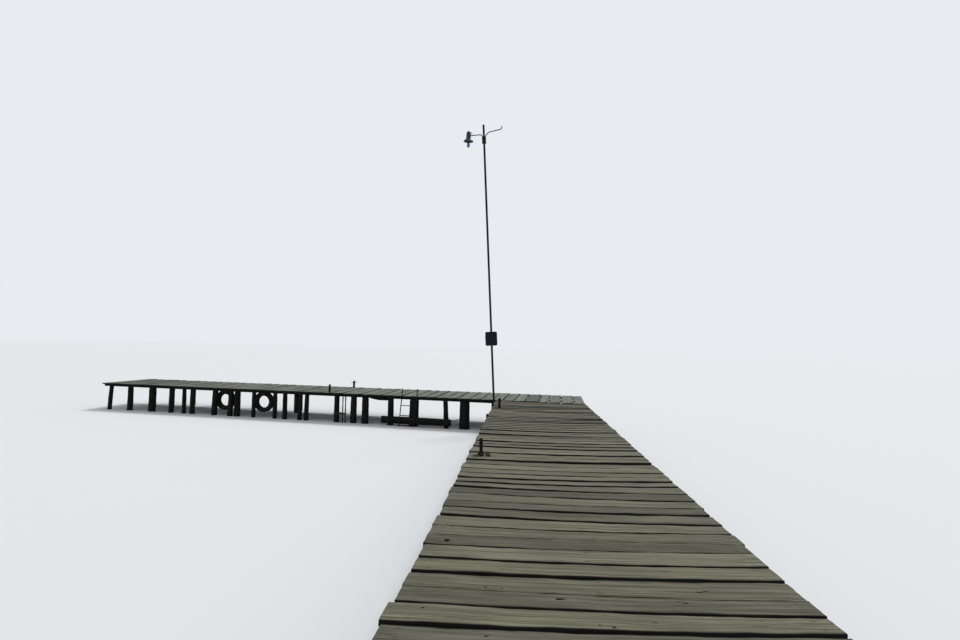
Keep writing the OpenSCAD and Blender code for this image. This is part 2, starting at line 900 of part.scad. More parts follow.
module lamp_shade() {
    roll_r = roll_d / 2;
    neck = housing_d / 2;
    outer = [
        for (i = [1 : bell_steps])
            [bell(i / bell_steps) - roll_r, shade_h - (shade_h - roll_d) * i / bell_steps]
    ];
    inner = [for (p = reversed(outer)) [p[0] - shade_wall, p[1]]];
    roll = [for (a = [60 : -30 : -180]) [shade_d / 2 - roll_r + roll_r * cos(a), roll_r + roll_r * sin(a)]];
    flange = [
        [neck - roll_r - shade_wall, shade_h],
        [neck, shade_h],
        [neck, shade_h - shade_wall],
        [neck - roll_r, shade_h - shade_wall]
    ];
    color("teal")
    centred()
    at_lamp(rim_z)
    rotate_extrude()
    polygon(concat(flange, outer, roll, inner));
}

socket_d = 46;
socket_l = 80;
stem_d = 22;
bulb_neck_d = 34;
bulb_l = 190;
bulb_below = 170;
// Share of the bulb's length that is its full width, and the rounding of both ends
bulb_body = 0.66;
bulb_round = 24;

module lamp_socket() {
    top = housing_z + (housing_h - shade_wall) * crown;
    bulb_top = rim_z - bulb_below + bulb_l;
    color("white")
    centred()
    at_lamp(bulb_top) {
        cylinder(h = socket_l, d = socket_d);
        cylinder(h = top - bulb_top, d = stem_d);
    }
}

module lamp_bulb() {
    r = bulb_d / 2 - bulb_round;
    low_arc = [for (a = [-90 : 15 : 0]) [r + bulb_round * cos(a), bulb_round + bulb_round * sin(a)]];
    body_top = bulb_l * bulb_body - bulb_round;
    high_arc = [for (a = [0 : 15 : 75]) [r + bulb_round * cos(a), body_top + bulb_round * sin(a)]];
    color("lightblue")
    centred()
    at_lamp(rim_z - bulb_below)
    rotate_extrude()
    polygon(concat(
        [[0, 0]],
        low_arc,
        high_arc,
        [[bulb_neck_d / 2, bulb_l * bulb_body + bulb_round / 4], [bulb_neck_d / 2, bulb_l], [0, bulb_l]]
    ));
}

// Grooved spool on the side of the housing, a little below its crown
spool_r = 20;
spool_l = 56;
spool_place = 0.66;
// Share of the housing's foot radius at which the spool's foot starts, inside the wall
spool_foot = 0.8;
spool_steps = [[0.5, 0], [0.5, 0.28], [1, 0.34], [1, 0.52], [0.6, 0.62], [1, 0.74], [1, 0.92]];

module insulator() {
    color("white")
    centred()
    difference() {
        at_lamp(housing_z + spool_place * housing_h)
        translate([housing_d / 2 * spool_foot, 0, 0])
        rotate([0, 90, 0])
        rotate_extrude()
        polygon(concat([[0, 0]], [for (p = spool_steps) [spool_r * p[0], spool_l * p[1]]], [[0, spool_l]]));
        housing_form(seat);
    }
}

// Switch box on the shore side of the pole
box_corner = 40;
door_t = 12;
bracket_t = 24;
bracket_h = 40;
bracket_l = 2 * pole_d;
bracket_places = [0.2, 0.8];
// Swing latch on the door's left edge, which reaches back over the box's side
latch_t = 8;
latch_w = 34;
latch_reach = 34;
latch_drop = 12;

module rounded_panel(w, h, r) {
    square([w - 2 * r, h], center = true);
    square([w, h - 2 * r], center = true);
    for (x = [-1, 1], y = [-1, 1])
        translate([x * (w / 2 - r), y * (h / 2 - r)])
        circle(r = r);
}

module at_box(out) {
    on_pole(box_z + box_h / 2)
    translate([0, -pole_d / 2 - bracket_t - out, 0])
    rotate([90, 0, 0])
    children();
}

module switch_box() {
    color("darkslategray")
    centred()
    difference() {
        at_box(0)
        linear_extrude(box_depth - door_t)
        rounded_panel(box_w, box_h, box_corner);
        at_box(box_wall)
        linear_extrude(box_depth)
        rounded_panel(box_w - 2 * box_wall, box_h - 2 * box_wall, box_corner - box_wall);
    }
}

module switch_box_door() {
    color("slategray")
    centred()
    difference() {
        at_box(box_depth - door_t + seat)
        linear_extrude(door_t - seat)
        rounded_panel(box_w, box_h, box_corner);
        at_box(box_depth - door_t)
        linear_extrude(door_t - box_wall)
        rounded_panel(box_w - 4 * box_wall, box_h - 4 * box_wall, box_corner - 2 * box_wall);
    }
    color("slategray")
    centred()
    at_box(box_depth - box_wall - latch_reach)
    translate([-box_w / 2 - latch_t, latch_drop, 0]) {
        cube([latch_t - seat, latch_w, latch_reach]);
        translate([0, 0, latch_reach - door_t + 2 * box_wall])
        cube([latch_t + box_wall, latch_w, door_t - 2 * box_wall]);
    }
}

module switch_box_brackets() {
    color("dimgray")
    centred()
    difference() {
        for (share = bracket_places)
            on_pole(box_z + share * box_h)
            translate([-bracket_l / 2, -pole_d / 2 - bracket_t, 0])
            cube([bracket_l, bracket_t + pole_d / 2, bracket_h]);
        on_pole(box_z - box_h)
        cylinder(h = 3 * box_h, d = pole_d + 2 * seat);
    }
}

// Mooring posts: two on the arm beside its outer stringers, two on the walkway
module round_post(p, low) {
    bevel = p[2] / 10;
    translate([p[0], p[1], low])
    cylinder(h = deck_h + post_above - bevel - low, d = p[2]);
    translate([p[0], p[1], deck_h + post_above - bevel])
    cylinder(h = bevel, d1 = p[2], d2 = p[2] - 2 * bevel);
}

pin_d = 20;
pin_l = 200;
pin_drop = 60;

module pin_body(grow) {
    translate([post_b[0], post_b[1], deck_h + post_above - pin_drop])
    rotate([0, 90, 0])
    cylinder(h = pin_l + 2 * grow, d = pin_d + 2 * grow, center = true);
}

module mooring_posts() {
    color("sienna")
    centred()
    difference() {
        union() {
            for (p = [post_a, post_b])
                round_post(p, arm_pile_top);
            for (p = [post_c, post_d_at])
                round_post(p, 0);
        }
        pin_body(seat);
    }
}

module post_pin() {
    color("dimgray")
    centred()
    pin_body(0);
}

// Mooring rope: turns round the near walkway post, and two loose ends on the deck
rope_turns = 4;
coil_in = rope_post_d / 2 + 1;
coil_out = coil_in + rope_d + 2;

module mooring_rope_coil() {
    h = rope_turns * rope_d;
    color("darkslategray")
    centred()
    translate([post_d_at[0], post_d_at[1], deck_h])
    rotate_extrude()
    polygon([
        [coil_in, 0], [coil_out, 0], [coil_out, h - rope_d / 2], [coil_out - rope_d / 2, h], [coil_in, h]
    ]);
}

// Routes of the loose ends, from the post's axis, across the deck
rope_end_left = [[-50, 10], [-70, 2], [-88, -14], [-98, -36], [-92, -60], [-72, -78]];
rope_end_right = [[52, -6], [72, -20], [96, -30], [118, -26], [132, -8], [130, 16]];

function unit(v) = v / norm(v);
function tube_rings(path, r, sides) = [
    for (i = [0 : len(path) - 1])
        let (
            ahead = path[min(i + 1, len(path) - 1)],
            behind = path[max(i - 1, 0)],
            t = unit([ahead[0] - behind[0], ahead[1] - behind[1]]),
            across = [t[1], -t[0]]
        )
        for (s = [0 : sides - 1])
            [
                path[i][0] + r * cos(360 * s / sides) * across[0],
                path[i][1] + r * cos(360 * s / sides) * across[1],
                r + r * sin(360 * s / sides)
            ]
];

module rope_tube(path, d, sides = 10) {
    n = len(path);
    ends = [[for (s = [0 : sides - 1]) s], [for (s = [sides - 1 : -1 : 0]) (n - 1) * sides + s]];
    walls = [
        for (i = [0 : n - 2], s = [0 : sides - 1])
            [
                i * sides + s,
                (i + 1) * sides + s,
                (i + 1) * sides + (s + 1) % sides,
                i * sides + (s + 1) % sides
            ]
    ];
    polyhedron(tube_rings(path, d / 2, sides), concat(ends, walls));
}

module mooring_rope_ends() {
    color("darkslategray")
    centred()
    translate([post_d_at[0], post_d_at[1], deck_h]) {
        rope_tube(rope_end_left, rope_d);
        rope_tube(rope_end_right, rope_d);
    }
}

walkway_planks(1);  // walkway_planks_1
walkway_planks(2);  // walkway_planks_2
walkway_planks(3);  // walkway_planks_3
walkway_planks(4);  // walkway_planks_4
walkway_planks(5);  // walkway_planks_5
walkway_planks(6);  // walkway_planks_6
walkway_planks(7);  // walkway_planks_7
arm_planks(0, corner_count);  // corner_planks
arm_planks(run_start(1), run_start(2));  // arm_planks_1
arm_planks(run_start(2), run_start(3));  // arm_planks_2
arm_planks(run_start(3), run_start(4));  // arm_planks_3
arm_planks(run_start(4), run_start(5));  // arm_planks_4
walkway_stringers();
walkway_cap_beams();
walkway_piles();
joining_ledger();
arm_front_stringer();
arm_inner_stringers();
stringer_bolster();
arm_front_piles();
arm_middle_piles();
arm_back_piles();
fender_beam();
thin_stakes();
stake_lashing();
tyre(0);  // tyre_1
tyre(1);  // tyre_2
tyre(2);  // tyre_3
tyre_straps();
ladder_rails();
ladder_rungs();
lamp_pole();
pole_straps();
lamp_arm();
empty_arm();
arm_clamps();
lamp_housing();
lamp_shade();
lamp_socket();
lamp_bulb();
insulator();
switch_box();
switch_box_door();
switch_box_brackets();
mooring_posts();
post_pin();
mooring_rope_coil();
mooring_rope_ends();
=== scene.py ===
import math

import bpy
import numpy as np
from mathutils import Matrix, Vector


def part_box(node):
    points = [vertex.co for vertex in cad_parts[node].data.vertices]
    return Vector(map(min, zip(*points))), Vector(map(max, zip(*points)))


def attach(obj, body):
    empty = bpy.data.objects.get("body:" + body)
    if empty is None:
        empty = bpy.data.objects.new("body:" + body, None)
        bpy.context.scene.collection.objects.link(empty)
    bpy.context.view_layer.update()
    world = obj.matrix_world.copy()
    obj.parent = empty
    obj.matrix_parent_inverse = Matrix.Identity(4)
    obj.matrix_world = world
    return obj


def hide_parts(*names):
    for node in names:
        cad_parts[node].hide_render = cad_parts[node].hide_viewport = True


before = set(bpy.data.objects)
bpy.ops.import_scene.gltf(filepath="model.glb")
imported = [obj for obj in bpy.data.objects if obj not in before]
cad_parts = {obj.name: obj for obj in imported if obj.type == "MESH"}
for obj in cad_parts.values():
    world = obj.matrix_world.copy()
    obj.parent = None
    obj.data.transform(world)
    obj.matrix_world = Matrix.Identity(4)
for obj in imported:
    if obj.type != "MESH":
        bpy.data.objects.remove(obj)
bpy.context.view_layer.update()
bpy.context.scene.view_settings.view_transform = "Standard"

# Camera: at eye height over the boards near the shore end, left of the walkway's middle
# line. It looks a little to the left and up, and it is held slightly
# crooked, so that the horizon falls to the right.
stringers_low, stringers_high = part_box("walkway_stringers")
walkway_x = (stringers_low.x + stringers_high.x) / 2
shore_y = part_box("walkway_planks_1")[0].y
deck_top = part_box("walkway_planks_1")[1].z
eye_offset = (-0.52, -1.69, 1.5)
turn_left, look_up, crooked = (math.radians(a) for a in (3.57, 2.27, 1.19))

camera_data = bpy.data.cameras.new("camera")
camera_data.sensor_width = 36
camera_data.lens = 25.5
camera_data.clip_end = 2000
camera = bpy.data.objects.new("camera", camera_data)
bpy.context.scene.collection.objects.link(camera)
bpy.context.scene.camera = camera
camera.matrix_world = (
    Matrix.Translation((walkway_x + eye_offset[0], shore_y + eye_offset[1], deck_top + eye_offset[2]))
    @ Matrix.Rotation(turn_left, 4, "Z")
    @ Matrix.Rotation(math.pi / 2 + look_up, 4, "X")
    @ Matrix.Rotation(crooked, 4, "Z")
)

# Mooring rope: dark three-strand rope, wound round the near walkway post in a low heap.
# One end comes in over the deck from the left, goes three times round the post, and the
# other end drops from the top turn and lies in a small coil on the right. The points of both
# ends are in millimetres from the middle of the turns, at their foot.
rope_d = 0.014
strand_pitch = 0.042
turn_r = 0.039
rope_turns = 3
wind_from = 112
rope_in = [(-72, -78), (-92, -60), (-98, -36), (-88, -14), (-70, 5), (-46, 22), (-26, 34)]
rope_out = [
    (22, 37, 49), (38, 26, 48), (50, 11, 44), (59, -5, 34), (68, -19, 21), (82, -30, 10),
    (100, -34, 7), (118, -27, 7), (129, -11, 7), (132, 12, 7), (122, 32, 8), (100, 41, 11), (80, 32, 16),
    (70, 10, 21), (80, -14, 22), (102, -22, 21), (121, -8, 21), (120, 16, 23), (99, 27, 30), (82, 14, 35),
    (87, -6, 36), (105, -9, 35), (114, 8, 33),
]


def srgb(r, g, b):
    """Linear colour of a screen colour of 0 to 255: each channel to the power 2.4, with the toe."""
    c = np.array([r, g, b]) / 255
    linear = np.where(c > 0.04045, ((c + 0.055) / 1.055) ** 2.4, c / 12.92)
    return (*linear.tolist(), 1.0)


def unit(v):
    """Vectors divided by their lengths."""
    v = np.asarray(v, float)
    return v / np.linalg.norm(v, axis=-1, keepdims=True)


def grid_quads(rows, around, ring=False):
    """Quads between neighbouring rows of a grid whose columns close on themselves."""
    i = np.arange(rows if ring else rows - 1)[:, None]
    j = np.arange(around)
    k = (j + 1) % around
    low, high = i * around, (i + 1) % rows * around
    return np.stack([low + j, low + k, high + k, high + j], -1).reshape(-1, 4)


def shell(points, quads, tris, values):
    """One closed surface, with its faces turned over if its signed volume is negative."""
    three = np.concatenate([quads[:, [0, 1, 2]], quads[:, [0, 2, 3]], tris])
    middle = points.mean(axis=0)
    a, b, c = (points[three[:, i]] - middle for i in range(3))
    if np.einsum("ij,ij->", a, np.cross(b, c)) < 0:
        quads, tris = quads[:, ::-1], tris[:, ::-1]
    return points, quads, tris, values


def closed_tube(grid, **values):
    """Rows that close on themselves, each end covered by a fan to the middle of its row."""
    rows, around = grid.shape[:2]

    def with_ends(a):
        a = np.broadcast_to(a, grid.shape)
        return np.concatenate([a.reshape(-1, 3), a[[0, -1]].mean(axis=1)])

    j = np.arange(around)
    k = (j + 1) % around
    last = (rows - 1) * around
    low = np.stack([k, j, np.full(around, rows * around)], -1)
    high = np.stack([last + j, last + k, np.full(around, rows * around + 1)], -1)
    values = {name: with_ends(a) for name, a in values.items()}
    return shell(with_ends(grid), grid_quads(rows, around), np.concatenate([low, high]), values)


def closed_ring(grid, **values):
    """Rows that close on themselves, the last row joined to the first."""
    values = {name: np.broadcast_to(a, grid.shape).reshape(-1, 3) for name, a in values.items()}
    quads = grid_quads(*grid.shape[:2], ring=True)
    return shell(grid.reshape(-1, 3), quads, np.zeros((0, 3), int), values)


def add_piece(name, shells, material, replaced=(), smooth=True):
    """Joins closed surfaces into one piece that rides on the jetty and stands for CAD nodes."""
    starts = np.cumsum([0] + [len(s[0]) for s in shells])
    points = np.concatenate([s[0] for s in shells])
    faces = [f for s, n in zip(shells, starts) for f in (s[1] + n).tolist() + (s[2] + n).tolist()]
    mesh = bpy.data.meshes.new(name)
    mesh.from_pydata(points.tolist(), [], faces)
    for label in shells[0][3]:
        values = np.concatenate([s[3][label] for s in shells])
        layer = mesh.attributes.new(label, "FLOAT_VECTOR", "POINT")
        layer.data.foreach_set("vector", values.astype(np.float32).ravel())
    mesh.polygons.foreach_set("use_smooth", [smooth] * len(mesh.polygons))
    if smooth:
        mesh.set_sharp_from_angle(angle=math.radians(40))
    mesh.materials.append(material)
    piece = bpy.data.objects.new(name, mesh)
    bpy.context.scene.collection.objects.link(piece)
    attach(piece, "root")
    if replaced:
        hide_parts(*replaced)
    return piece


def run_along(path):
    """How far each point of a path lies along it."""
    return np.concatenate([[0], np.cumsum(np.linalg.norm(np.diff(path, axis=0), axis=1))])


def full_turn(count):
    """Evenly set angles once round, from 0."""
    return np.linspace(0, 2 * math.pi, count, endpoint=False)


def smooth_path(points, step):
    """A curve through points, resampled evenly: each span is a cubic whose end slopes are half
    the line between the neighbours on both sides."""
    p = np.asarray(points, float)
    p = np.concatenate([2 * p[:1] - p[1:2], p, 2 * p[-1:] - p[-2:-1]])
    t = np.linspace(0, 1, 24, endpoint=False)[None, :, None]
    a, b, c, d = (p[i : len(p) - 3 + i, None] for i in range(4))
    square, cube = 2 * a - 5 * b + 4 * c - d, 3 * b - a - 3 * c + d
    cubic = b + t / 2 * (c - a) + t**2 / 2 * square + t**3 / 2 * cube
    curve = np.concatenate([cubic.reshape(-1, p.shape[1]), p[-2:-1]])
    run = run_along(curve)
    even = np.linspace(0, run[-1], max(2, int(round(run[-1] / step)) + 1))
    return np.stack([np.interp(even, run, curve[:, i]) for i in range(p.shape[1])], -1)


def frames_along(path, up):
    """For each point of a path, the way to the side, which is square to up and to the way ahead,
    and the way square to both."""
    ahead = unit(np.gradient(path, axis=0))
    side = unit(np.cross(up, ahead))
    return side, np.cross(ahead, side)


def laid_rope(path, d, up=(0, 0, 1)):
    """Three round strands twisted together: the radius at an angle is a lobed curve with three
    crests, and the crests turn once in each strand pitch along the path."""
    side, third = frames_along(path, up)
    run = run_along(path)
    angle = full_turn(18)
    lobes = np.abs(np.cos(1.5 * (angle - 2 * math.pi * run[:, None] / strand_pitch)))
    r = (d / 2 * (0.8 + 0.2 * lobes**0.6))[:, :, None]
    ring = side[:, None] * np.cos(angle)[:, None] + third[:, None] * np.sin(angle)[:, None]
    place = np.stack(np.broadcast_arrays(run[:, None], angle / (2 * math.pi), lobes), -1)
    return closed_tube(path[:, None] + r * ring, grain=place)


def put(tree, kind, inputs, out=0, **settings):
    """Adds a shader node and gives back one output. An input is a value or an output."""
    made = tree.nodes.new(kind)
    for name, value in settings.items():
        setattr(made, name, value)
    for key, value in inputs.items():
        if isinstance(value, bpy.types.NodeSocket):
            tree.links.new(value, made.inputs[key])
        else:
            made.inputs[key].default_value = value
    return made.outputs[out]


def calc(tree, operation, *values):
    """One step of arithmetic on one, two or three values."""
    return put(tree, "ShaderNodeMath", dict(enumerate(values)), operation=operation)


def stretched(tree, place, *times):
    """A place multiplied along its three axes."""
    return put(tree, "ShaderNodeVectorMath", {0: place, 1: times}, operation="MULTIPLY")


def noise(tree, place, detail=3.0, roughness=0.55, scale=1.0):
    """A soft random pattern from 0 to 1."""
    inputs = {"Vector": place, "Scale": scale, "Detail": detail, "Roughness": roughness}
    return put(tree, "ShaderNodeTexNoise", inputs)


def graded(tree, value, low, high, to_low=0.0, to_high=1.0):
    """A value carried smoothly from one range to another and held at its ends."""
    inputs = {0: value, 1: low, 2: high, 3: to_low, 4: to_high}
    return put(tree, "ShaderNodeMapRange", inputs, interpolation_type="SMOOTHSTEP")


def mixed(tree, mask, a, b, way="MIX"):
    """Colour a where the mask is 0 and b where it is 1."""
    return put(tree, "ShaderNodeMix", {0: mask, 6: a, 7: b}, out=2, data_type="RGBA", blend_type=way)


def own(tree, label):
    """A vector that the piece's mesh holds for each point."""
    return put(tree, "ShaderNodeAttribute", {}, out=1, attribute_name=label)


def split(tree, vector):
    """The three numbers of a vector."""
    node = tree.nodes.new("ShaderNodeSeparateXYZ")
    tree.links.new(vector, node.inputs[0])
    return node.outputs


def new_material(name, metallic=0.0, **constants):
    """A material with its shader, and the constants set on the shader's own sockets."""
    material = bpy.data.materials.new(name)
    material.use_nodes = True
    tree = material.node_tree
    shader = tree.nodes["Principled BSDF"]
    shader.inputs["Metallic"].default_value = metallic
    for key, value in constants.items():
        shader.inputs[key.replace("_", " ")].default_value = value
    return material, tree, shader


def finish_surface(tree, shader, colour, roughness, height=None, depth=0.001, strength=0.6):
    """Links what changes over the surface: its colour, its roughness and its relief."""
    tree.links.new(colour, shader.inputs["Base Color"])
    if isinstance(roughness, bpy.types.NodeSocket):
        tree.links.new(roughness, shader.inputs["Roughness"])
    else:
        shader.inputs["Roughness"].default_value = roughness
    if height is not None:
        inputs = {"Height": height, "Distance": depth, "Strength": strength}
        tree.links.new(put(tree, "ShaderNodeBump", inputs), shader.inputs["Normal"])


def rope_material():
    """Dark, damp natural fibre: yarns run along the strands, and the grooves between the strands are
    darkened by painted shade.
    """
    material, tree, shader = new_material("laid rope", Specular_IOR_Level=0.12)
    run, turn, lobe = split(tree, own(tree, "grain"))
    slant = calc(tree, "ADD", turn, calc(tree, "MULTIPLY", run, 40))
    yarn_place = {0: calc(tree, "MULTIPLY", run, 30), 1: calc(tree, "MULTIPLY", slant, 24)}
    yarns = noise(tree, put(tree, "ShaderNodeCombineXYZ", yarn_place), detail=4)
    dirt = noise(tree, stretched(tree, own(tree, "grain"), 9, 1, 0))
    colour = mixed(tree, graded(tree, yarns, 0.35, 0.65), srgb(38, 36, 32), srgb(84, 79, 68))
    colour = mixed(tree, graded(tree, dirt, 0.45, 0.7), colour, srgb(30, 30, 27))
    # painted shade: darker towards the grooves between the strands
    colour = mixed(tree, graded(tree, lobe, 0.0, 0.5, 0.85, 0.0), colour, srgb(14, 13, 12))
    finish_surface(tree, shader, colour, 0.9, yarns, 0.0015, 0.8)
    return material


def foot_of(node):
    """The middle of a node's box in plan, at its lowest height."""
    low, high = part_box(node)
    return np.array([(low.x + high.x) / 2, (low.y + high.y) / 2, low.z])


rope_foot = foot_of("mooring_rope_coil")
wind = np.radians(np.arange(wind_from, wind_from - 360 * rope_turns - 1, -12))
wind_z = np.linspace(rope_d / 2, rope_d / 2 + rope_d * rope_turns, len(wind))
winding = np.stack([turn_r * np.cos(wind), turn_r * np.sin(wind), wind_z], -1)
rope_start = np.array([(x, y, 1000 * rope_d / 2) for x, y in rope_in]) / 1000
rope_route = np.concatenate([rope_start, winding, np.array(rope_out) / 1000])
rope_path = smooth_path(rope_route, 0.003) + rope_foot
fibre = rope_material()
mooring_rope = add_piece(
    "mooring_rope", [laid_rope(rope_path, rope_d)], fibre, ["mooring_rope_coil", "mooring_rope_ends"]
)

# Boards of the deck: sawn planks about 0.3 m wide, grey from the weather, laid across the
# walkway and along it on the arm. Each is bowed, cupped and worn round at its edges, many
# are split from an end, and each is nailed down on three stringers.
board_wear = 0.005
board_rows = 56
lines_across = 15
joint_gap = 0.002
seam_bow = 0.004
# The band of dirt and painted shade beside a seam: its width, and the step at which it is full.
seam_dirt_and_shade = 0.014
full_band_step = 0.009
dull_chance, dull_tone = 0.08, 0.6
nail_chance, nail_edge, nailed_width = 0.92, 0.05, 0.12
end_rag = 0.0022
rng = np.random.default_rng(11)


def solids_of(node):
    """The corner points of each solid of a CAD node: loose triangles whose corners are the
    same to 0.05 mm are joined, and each point takes the lowest number it is joined to."""
    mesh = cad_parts[node].data
    co = np.zeros(len(mesh.vertices) * 3)
    mesh.vertices.foreach_get("co", co)
    points, where = np.unique(np.round(co.reshape(-1, 3) / 5e-5), axis=0, return_inverse=True)
    edges = np.zeros(len(mesh.edges) * 2, int)
    mesh.edges.foreach_get("vertices", edges)
    a, b = where.ravel()[edges.reshape(-1, 2)].T
    group = np.arange(len(points))
    while True:
        lowest = np.minimum(group[a], group[b])
        new = group.copy()
        np.minimum.at(new, a, lowest)
        np.minimum.at(new, b, lowest)
        new = new[new]
        if (new == group).all():
            break
        group = new
    return [points[group == g] * 5e-5 for g in np.unique(group)]


def edges_along(run, across, stations):
    """Lowest and highest edge of a convex outline at each station: the extremes of all lines
    between two of its corners that cross the station."""
    i, j = (k.ravel() for k in np.meshgrid(np.arange(len(run)), np.arange(len(run))))
    ordered = run[j] - run[i] > 1e-6
    i, j = i[ordered], j[ordered]
    share = (stations[:, None] - run[i]) / (run[j] - run[i])
    value = across[i] + share * (across[j] - across[i])
    inside = (share >= 0) & (share <= 1)
    return np.where(inside, value, np.inf).min(1), np.where(inside, value, -np.inf).max(1)


def waves(s, longest, count, rng):
    """A smooth random line: a sum of sines, each half as long as the last and two thirds as high."""
    k = np.arange(count)
    phase = rng.uniform(0, 2 * math.pi, count)
    return (np.sin(2 * math.pi * s[:, None] * 2.0**k / longest + phase) * 0.66**k).sum(1)


def crack_depth(s, rng, chance):
    """How far a split is open along the timber, from 0 to 1: from one end, in the middle, or
    nowhere."""
    length = rng.uniform(0.08, 0.45)
    kind = rng.uniform()
    if kind < chance / 2:
        return np.clip(1 - s / length, 0, 1) ** 0.7
    if kind < chance:
        return np.clip(1 - (1 - s) / length, 0, 1) ** 0.7
    if kind < 1.3 * chance:
        return np.clip(1 - np.abs(s - rng.uniform(0.3, 0.7)) / length * 1.6, 0, 1) ** 0.7
    return np.zeros(len(s))


def sawn_timber(points, along, rng, rows, wear, bow=(0, 0), cup=0.0, split_chance=0.5,
                lift=(0, 0), sag=0.0, wave=0.0012, sides=0.5):
    """A board or beam: an outline carried along its length. At each station the outline has a
    top and a bottom line with the same points across: rounded edges, two narrow splits, and a
    hollow that is the square of the distance from the middle. Both long edges bow by the root
    of a half sine, and each is lifted by heights given near its ends and in the middle; the sag is a
    parabola along the timber. The shade attribute holds painted shade: the rounded edges, the
    sides, the underside and the ends are darkened by the sides factor, and the splits by their
    depth. Gives the closed surface, and its top line for the nails."""
    along = np.array([*along, 0.0])
    square = np.array([-along[1], along[0], 0.0])
    run, across = points @ along, points @ square
    a0, a1 = run.min() + 1e-5, run.max() - 1e-5
    stations = np.concatenate([[a0], np.linspace(a0 + wear * 0.8, a1 - wear * 0.8, rows), [a1]])
    lo, hi = edges_along(run, across, stations)
    bottom, top = edges_along(run, points[:, 2], stations)
    s = (stations - a0) / (a1 - a0)
    arch = np.sin(math.pi * s) ** 0.5
    lo = lo + bow[0] * arch + wave * waves(stations, 1.1, 3, rng)
    hi = hi + bow[1] * arch + wave * waves(stations, 0.9, 3, rng)
    width = np.maximum(hi - lo, 0.004)
    r = np.minimum(wear * (1 + 0.5 * waves(stations, 0.6, 3, rng) / 2), width / 6)
    open_1, open_2 = crack_depth(s, rng, split_chance), crack_depth(s, rng, split_chance * 0.7)
    c1 = width * rng.uniform(0.26, 0.44) + 0.006 * waves(stations, 0.8, 3, rng) * width / 0.3
    c2 = width * rng.uniform(0.58, 0.76) + 0.006 * waves(stations, 0.8, 3, rng) * width / 0.3
    e1, e2 = (0.0004 + rng.uniform(0.0008, 0.0032) * o for o in (open_1, open_2))
    e1, e2 = np.minimum(e1, width / 20), np.minimum(e2, width / 20)
    zero, flat_lines = np.zeros(len(s)), lines_across - 4
    w = np.stack([
        zero, 0.3 * r, r, (r + c1) / 2, c1 - e1, c1, c1 + e1, (c1 + c2) / 2,
        c2 - e2, c2, c2 + e2, (c2 + width - r) / 2, width - r, width - 0.3 * r, width,
    ], -1)
    deep = 0.45 * (top - bottom)
    drop = np.stack([
        r, 0.3 * r, zero, zero, zero, open_1 * deep, zero, zero,
        zero, open_2 * deep, zero, zero, zero, 0.3 * r, r,
    ], -1)
    t = w / width[:, None]
    thirds = np.array((0.15, 0.5, 0.85))
    first, last = (np.interp(s, thirds, np.broadcast_to(v, 3))[:, None] for v in lift)
    level = first * (1 - t) + last * t - sag * (4 * s * (1 - s))[:, None]
    surface = level + 0.0012 * waves(stations, 0.7, 3, rng)[:, None] + cup * ((2 * t - 1) ** 2 - 0.6)
    under = np.stack([r, 0.3 * r] + [zero] * flat_lines + [0.3 * r, r], -1) * 0.6
    high = top[:, None] + surface - drop
    low = bottom[:, None] + under + level
    worn_end = np.zeros(len(s))
    worn_end[[0, -1]] = wear * 0.7
    high, low = high - worn_end[:, None], low + 0.5 * worn_end[:, None]
    ragged = np.zeros(w.shape)
    ragged[:2] = np.abs(rng.normal(0, end_rag, lines_across))
    ragged[-2:] = -np.abs(rng.normal(0, end_rag, lines_across))
    both_a = np.concatenate([stations[:, None] + ragged] * 2, axis=1)
    both_w = np.concatenate([w, w[:, ::-1]], axis=1)
    both_z = np.concatenate([high, low[:, ::-1]], axis=1)
    grid = both_a[..., None] * along + (lo[:, None] + both_w)[..., None] * square
    grid[..., 2] += both_z
    offset = rng.uniform(-40, 40, 3)
    grain = np.stack([both_a, both_w - width[:, None] / 2, both_z], -1) + offset
    # Painted shade: rounded edges, sides, underside and ends darken by the sides factor, and the top over a
    # split by its depth.
    edge_shade = np.array([sides, (1 + sides) / 2] + [1.0] * flat_lines + [(1 + sides) / 2, sides])
    shade = edge_shade * (1 - 0.8 * np.clip(drop / 0.012, 0, 1) * (edge_shade == 1))
    shade = np.concatenate([shade, np.full(shade.shape, sides)], axis=1)
    shade[[0, -1]] *= sides
    around = 2 * lines_across
    k = np.arange(lines_across - 1)
    cap = np.stack([k, k + 1, around - 2 - k, around - 1 - k], -1)
    last = (len(s) - 1) * around
    quads = np.concatenate([grid_quads(*grid.shape[:2]), cap[:, ::-1], cap + last])
    values = {"grain": grain.reshape(-1, 3), "shade": np.repeat(shade.reshape(-1, 1), 3, 1)}
    made = shell(grid.reshape(-1, 3), quads, np.zeros((0, 3), int), values)
    return made, (grid[:, :lines_across], w, width)


